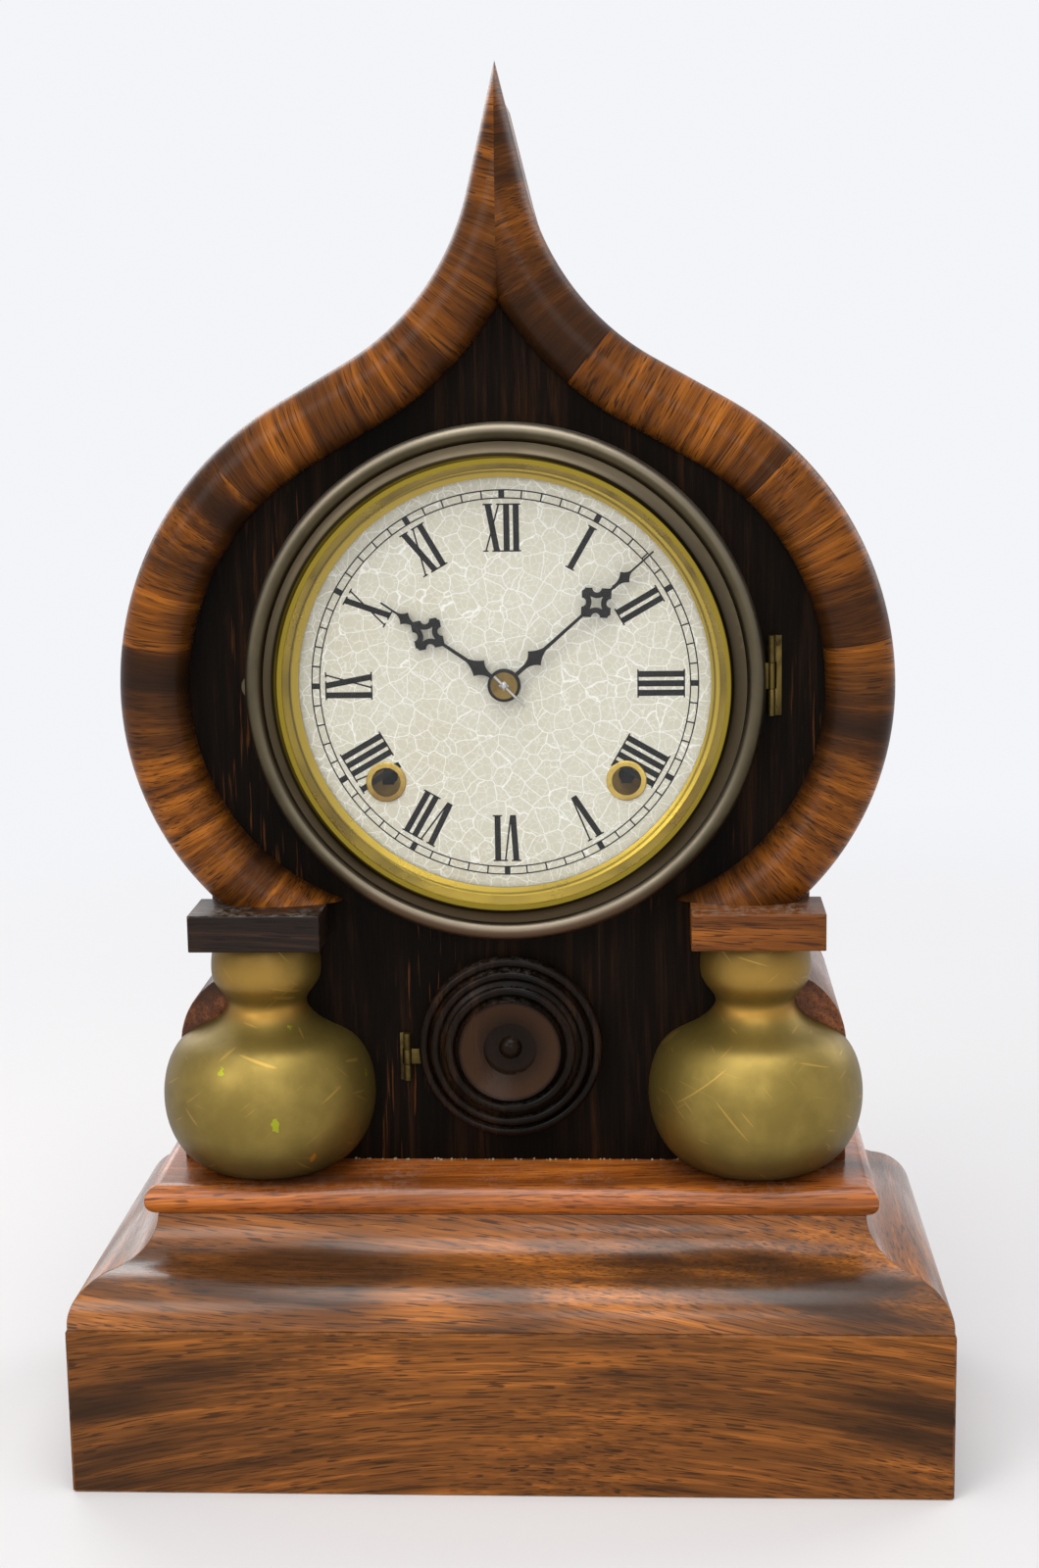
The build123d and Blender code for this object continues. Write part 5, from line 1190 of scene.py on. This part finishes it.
def track_tree():
    """Ticks, blocks and the two circles of a minute track, flat on the XY plane."""
    sizes = [(label, FLOAT) for label in ("Inner", "Outer", "Line", "Tick", "Block", "Ink")]
    tree, given, out = new_geometry_tree("minute track", sizes + [("Minutes", INT), ("Finish", MATERIAL)])
    middle = math_of(tree, "MULTIPLY", math_of(tree, "ADD", given["Inner"], given["Outer"]), 0.5)
    length = math_of(tree, "SUBTRACT", given["Outer"], given["Inner"])
    minute_circle = {"Vertices": given["Minutes"], "Radius": middle}
    circle = place(tree, "GeometryNodeMeshCircle", minute_circle).outputs[0]
    size = place(tree, "ShaderNodeCombineXYZ", {"X": length, "Y": 1.0 * mm, "Z": given["Ink"]}).outputs[0]
    bar = place(tree, "GeometryNodeMeshCube", {"Size": size}).outputs[0]
    index = place(tree, "GeometryNodeInputIndex").outputs[0]
    fifth = math_of(tree, "LESS_THAN", math_of(tree, "MODULO", index, float(minutes_in_five)), 0.5)
    wider = math_of(tree, "MULTIPLY", math_of(tree, "SUBTRACT", given["Block"], given["Tick"]), fifth)
    width = math_of(tree, "DIVIDE", math_of(tree, "ADD", given["Tick"], wider), 1.0 * mm)
    stretch = place(tree, "ShaderNodeCombineXYZ", {"X": 1.0, "Y": width, "Z": 1.0}).outputs[0]
    spot = place(tree, "GeometryNodeInputPosition").outputs[0]
    aim = place(tree, "FunctionNodeAlignRotationToVector", {"Vector": spot}, axis="X").outputs[0]
    copies = {"Points": circle, "Instance": bar, "Rotation": aim, "Scale": stretch}
    pieces = [place(tree, "GeometryNodeInstanceOnPoints", copies).outputs[0]]
    line_size = {"Width": given["Line"], "Height": given["Ink"]}
    profile = place(tree, "GeometryNodeCurvePrimitiveQuadrilateral", line_size).outputs[0]
    for radius in (given["Inner"], given["Outer"]):
        circle_size = {"Resolution": circle_sides, "Radius": radius}
        ring = place(tree, "GeometryNodeCurvePrimitiveCircle", circle_size).outputs[0]
        swept = {"Curve": ring, "Profile Curve": profile}
        pieces.append(place(tree, "GeometryNodeCurveToMesh", swept).outputs[0])
    join = tree.nodes.new("GeometryNodeJoinGeometry")
    for geometry in pieces:
        tree.links.new(geometry, join.inputs[0])
    tree.links.new(set_material(tree, join.outputs[0], given["Finish"]), out["Geometry"])
    return tree


track_inputs = {"Inner": track_inner * mm, "Outer": track_outer * mm, "Line": track_line * mm}
track_inputs.update({"Tick": tick_width * mm, "Block": block_width * mm, "Ink": 2 * ink_height * mm})
track_inputs.update({"Minutes": minutes, "Finish": dial_ink})
track_mesh = run_tree(track_tree(), [(0, 0, 0)], [], track_inputs, "minute_track")
track_mesh.transform(Matrix.Translation(dial_centre) @ Matrix.Rotation(math.pi / 2, 4, "X"))
track_piece = bpy.data.objects.new("dial_track", track_mesh)
finish_piece(track_piece, "case", dial_ink)
print("track:", len(track_mesh.polygons), "faces")

# %% [markdown]
# ## Screws and nails
# The back board is screwed to the case wall, and the hinge leaves are held by tiny nails. Every head is
# the same small turned shape, so it is modelled once. A tree puts a copy on every point, turned by a
# random amount with a fixed seed, because nobody lines up the slots of hidden screws. The screws lie in
# shallow recesses, which a Boolean modifier cuts into the board. Modelling the holes by hand would take
# many more faces.

# %% Fastener heads and their tree
head_sides = 14
screw_radius, screw_height, slot_half, slot_depth = 2.6, 0.45, 0.3, 0.3
nail_radius, nail_height = 0.5, 0.22
head_profile_shares = ((1.0, 0.0), (1.0, 0.45), (0.72, 1.0))


def head_mesh(name, radius, height, slotted):
    """A domed head on the XY plane, with a slot where it is a screw."""
    mesh = bmesh.new()
    rings = []
    turns = [math.tau * i / head_sides for i in range(head_sides)]
    for share, lift in head_profile_shares:
        reach = radius * share
        spots = [(reach * math.cos(t), reach * math.sin(t), height * lift) for t in turns]
        rings.append([mesh.verts.new(spot) for spot in spots])
    for low, high in zip(rings, rings[1:]):
        for i in range(head_sides):
            j = (i + 1) % head_sides
            mesh.faces.new((low[i], low[j], high[j], high[i]))
    mesh.faces.new(rings[0][::-1])
    mesh.faces.new(rings[-1])
    if slotted:
        for edge in (-slot_half * mm, slot_half * mm):
            geom = mesh.verts[:] + mesh.edges[:] + mesh.faces[:]
            bmesh.ops.bisect_plane(mesh, geom=geom, plane_co=(0, edge, 0), plane_no=(0, 1, 0))
        upward = [f for f in mesh.faces if f.normal.z > 0.9]
        inside = [f for f in upward if abs(f.calc_center_median().y) < slot_half * mm]
        made = bmesh.ops.extrude_face_region(mesh, geom=inside)
        moved = [v for v in made["geom"] if isinstance(v, bmesh.types.BMVert)]
        bmesh.ops.translate(mesh, verts=moved, vec=(0, 0, -slot_depth * mm))
        bmesh.ops.delete(mesh, geom=inside, context="FACES_ONLY")
    bmesh.ops.recalc_face_normals(mesh, faces=mesh.faces)
    data = bpy.data.meshes.new(name)
    mesh.to_mesh(data)
    mesh.free()
    return bpy.data.objects.new(name, data)


def heads_tree():
    """A head on every incoming point, facing forwards or backwards, with a random turn."""
    names = [("Head", OBJECT), ("Tilt", FLOAT), ("Seed", INT), ("Finish", MATERIAL)]
    tree, given, out = new_geometry_tree("fastener heads", names)
    head = place(tree, "GeometryNodeObjectInfo", {"Object": given["Head"]}).outputs["Geometry"]
    limits = {"Min": 0.0, "Max": math.tau, "Seed": given["Seed"]}
    chance = place(tree, "FunctionNodeRandomValue", limits, data_type="FLOAT")
    spin = next(o for o in chance.outputs if o.enabled)
    turn = place(tree, "ShaderNodeCombineXYZ", {"X": given["Tilt"], "Y": spin}).outputs[0]
    spots = {"Points": given["Geometry"], "Instance": head, "Rotation": turn}
    heads = place(tree, "GeometryNodeInstanceOnPoints", spots).outputs[0]
    tree.links.new(set_material(tree, heads, given["Finish"]), out["Geometry"])
    return tree


fastener_tree = heads_tree()
front_tilt, back_tilt = math.pi / 2, -math.pi / 2
back_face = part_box("back_board")[1].y


def add_heads(name, head, spots, tilt, finish, seed):
    """Heads on these spots, in one piece on the case."""
    values = {"Head": head, "Tilt": tilt, "Seed": seed, "Finish": finish}
    mesh = run_tree(fastener_tree, spots, [], values, name)
    piece = bpy.data.objects.new(name, mesh)
    finish_piece(piece, "case", finish)
    print(name, len(spots), "heads")
    return piece


def drill(piece, spots, radius, depth):
    """Sinks round recesses into the back of a piece."""
    cutter = bmesh.new()
    for spot in spots:
        lying = Matrix.Translation(spot) @ Matrix.Rotation(back_tilt, 4, "X")
        size = {"radius1": radius, "radius2": radius, "depth": 2 * depth}
        bmesh.ops.create_cone(cutter, cap_ends=True, segments=2 * head_sides, matrix=lying, **size)
    data = bpy.data.meshes.new("recesses")
    cutter.to_mesh(data)
    cutter.free()
    tool = bpy.data.objects.new("recesses", data)
    scene.collection.objects.link(tool)
    modifier = piece.modifiers.new("recesses", "BOOLEAN")
    modifier.object = tool
    depsgraph = bpy.context.evaluated_depsgraph_get()
    cut = bpy.data.meshes.new_from_object(piece.evaluated_get(depsgraph), depsgraph=depsgraph)
    piece.modifiers.remove(modifier)
    bpy.data.objects.remove(tool)
    piece.data = cut
    cut.set_sharp_from_angle(angle=smooth_angle)


screw_head = head_mesh("screw_head", screw_radius * mm, screw_height * mm, True)
nail_head = head_mesh("nail_head", nail_radius * mm, nail_height * mm, False)
screw_inset, recess_gap, recess_depth = 7.0, 0.5, 0.9
screw_shares = (0.02, 0.25, 0.48, 0.78)
screw_line = onion_outline(rim_foot + rim_width, screw_inset)
screw_places = [screw_line[int(share * (len(screw_line) - 1))] for share in screw_shares]
screw_spots = [Vector((side * x * mm, back_face, z * mm)) for x, z in screw_places for side in (-1, 1)]
recess_radius = (screw_radius + recess_gap) * mm
drill(bpy.data.objects["back_board_finished"], screw_spots, recess_radius, recess_depth * mm)
sunk_spots = [spot - Vector((0, recess_depth * mm, 0)) for spot in screw_spots]
add_heads("back_screws", screw_head, sunk_spots, back_tilt, plate_steel, 3)

nail_inset, nail_end, leaf_thickness = 1.0, 2.6, 0.8
leaf_points = [vertex.co for vertex in frame["nodes"]["hinge_plates"].data.vertices]
nail_spots = []
for side in (1, -1):
    own = [point for point in leaf_points if point.x * side > 0]
    outer = max(point.x * side for point in own) - nail_inset * mm
    low, high = min(point.z for point in own), max(point.z for point in own)
    for level_of_nail in (low + nail_end * mm, high - nail_end * mm):
        nail_spots.append((side * outer, panel_face - leaf_thickness * mm, level_of_nail))
add_heads("hinge_nails", nail_head, nail_spots, front_tilt, hinge_brass, 5)

# %% [markdown]
# ## Crumbs of glue
# A pale line of glue and dust lies where the panel meets the deck. Small uneven crumbs along that line do
# it, as copies of a low ball with random size and place.

# %% The crumbs' tree
crumb_count, crumb_least, crumb_most = 90, 0.18, 0.55
crumb_scatter = 0.9


def crumb_tree():
    """Random crumbs along the incoming edge line."""
    sizes = [("Count", INT), ("Least", FLOAT), ("Most", FLOAT), ("Scatter", FLOAT), ("Seed", INT)]
    tree, given, out = new_geometry_tree("crumbs", sizes + [("Finish", MATERIAL)])
    curve = place(tree, "GeometryNodeMeshToCurve", {"Mesh": given["Geometry"]}).outputs[0]
    line = {"Curve": curve, "Count": given["Count"]}
    points = place(tree, "GeometryNodeCurveToPoints", line, mode="COUNT").outputs[0]

    def chance(kind, low, high, seed):
        node = place(tree, "FunctionNodeRandomValue", data_type=kind)
        ends = [s for s in node.inputs if s.enabled and s.name in ("Min", "Max")]
        for socket, value in zip(ends, (low, high)):
            if isinstance(value, bpy.types.NodeSocket):
                tree.links.new(value, socket)
            else:
                socket.default_value = value
        tree.links.new(math_of(tree, "ADD", given["Seed"], float(seed)), node.inputs["Seed"])
        return next(o for o in node.outputs if o.enabled)

    shift = chance("FLOAT_VECTOR", (-6.0, -1.0, 0.0), (6.0, 0.0, 0.15), 1)
    shift = scaled(tree, shift, given["Scatter"])
    points = place(tree, "GeometryNodeSetPosition", {"Geometry": points, "Offset": shift}).outputs[0]
    ball = place(tree, "GeometryNodeMeshIcoSphere", {"Radius": 1.0, "Subdivisions": 1}).outputs[0]
    scale = chance("FLOAT", given["Least"], given["Most"], 2)
    turn = chance("FLOAT_VECTOR", (0.0, 0.0, 0.0), (math.tau, math.tau, math.tau), 3)
    crumbs = {"Points": points, "Instance": ball, "Rotation": turn, "Scale": scale}
    made = place(tree, "GeometryNodeInstanceOnPoints", crumbs).outputs[0]
    tree.links.new(set_material(tree, made, given["Finish"]), out["Geometry"])
    return tree


def glue_material():
    """Old glue, from cream to grey."""
    material, tree, shader = new_material("old_glue")
    where = object_place(tree)
    cloud = noise(tree, where, 900.0, 2.0)
    tree.links.new(mixed(tree, cloud, rgb(196, 176, 142), rgb(120, 100, 78)), shader.inputs["Base Color"])
    shader.inputs["Roughness"].default_value = 0.8
    return material


deck_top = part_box("deck")[1].z
foot_half = 96.0 * mm
crumb_inputs = {"Count": crumb_count, "Least": crumb_least * mm, "Most": crumb_most * mm}
crumb_inputs.update({"Scatter": crumb_scatter * mm, "Seed": 11, "Finish": glue_material()})
foot_line = [(-foot_half, panel_face, deck_top), (foot_half, panel_face, deck_top)]
crumb_mesh = run_tree(crumb_tree(), foot_line, [(0, 1)], crumb_inputs, "glue_crumbs")
crumb_piece = bpy.data.objects.new("glue_crumbs", crumb_mesh)
finish_piece(crumb_piece, "case")
print("crumbs:", len(crumb_mesh.polygons), "faces")
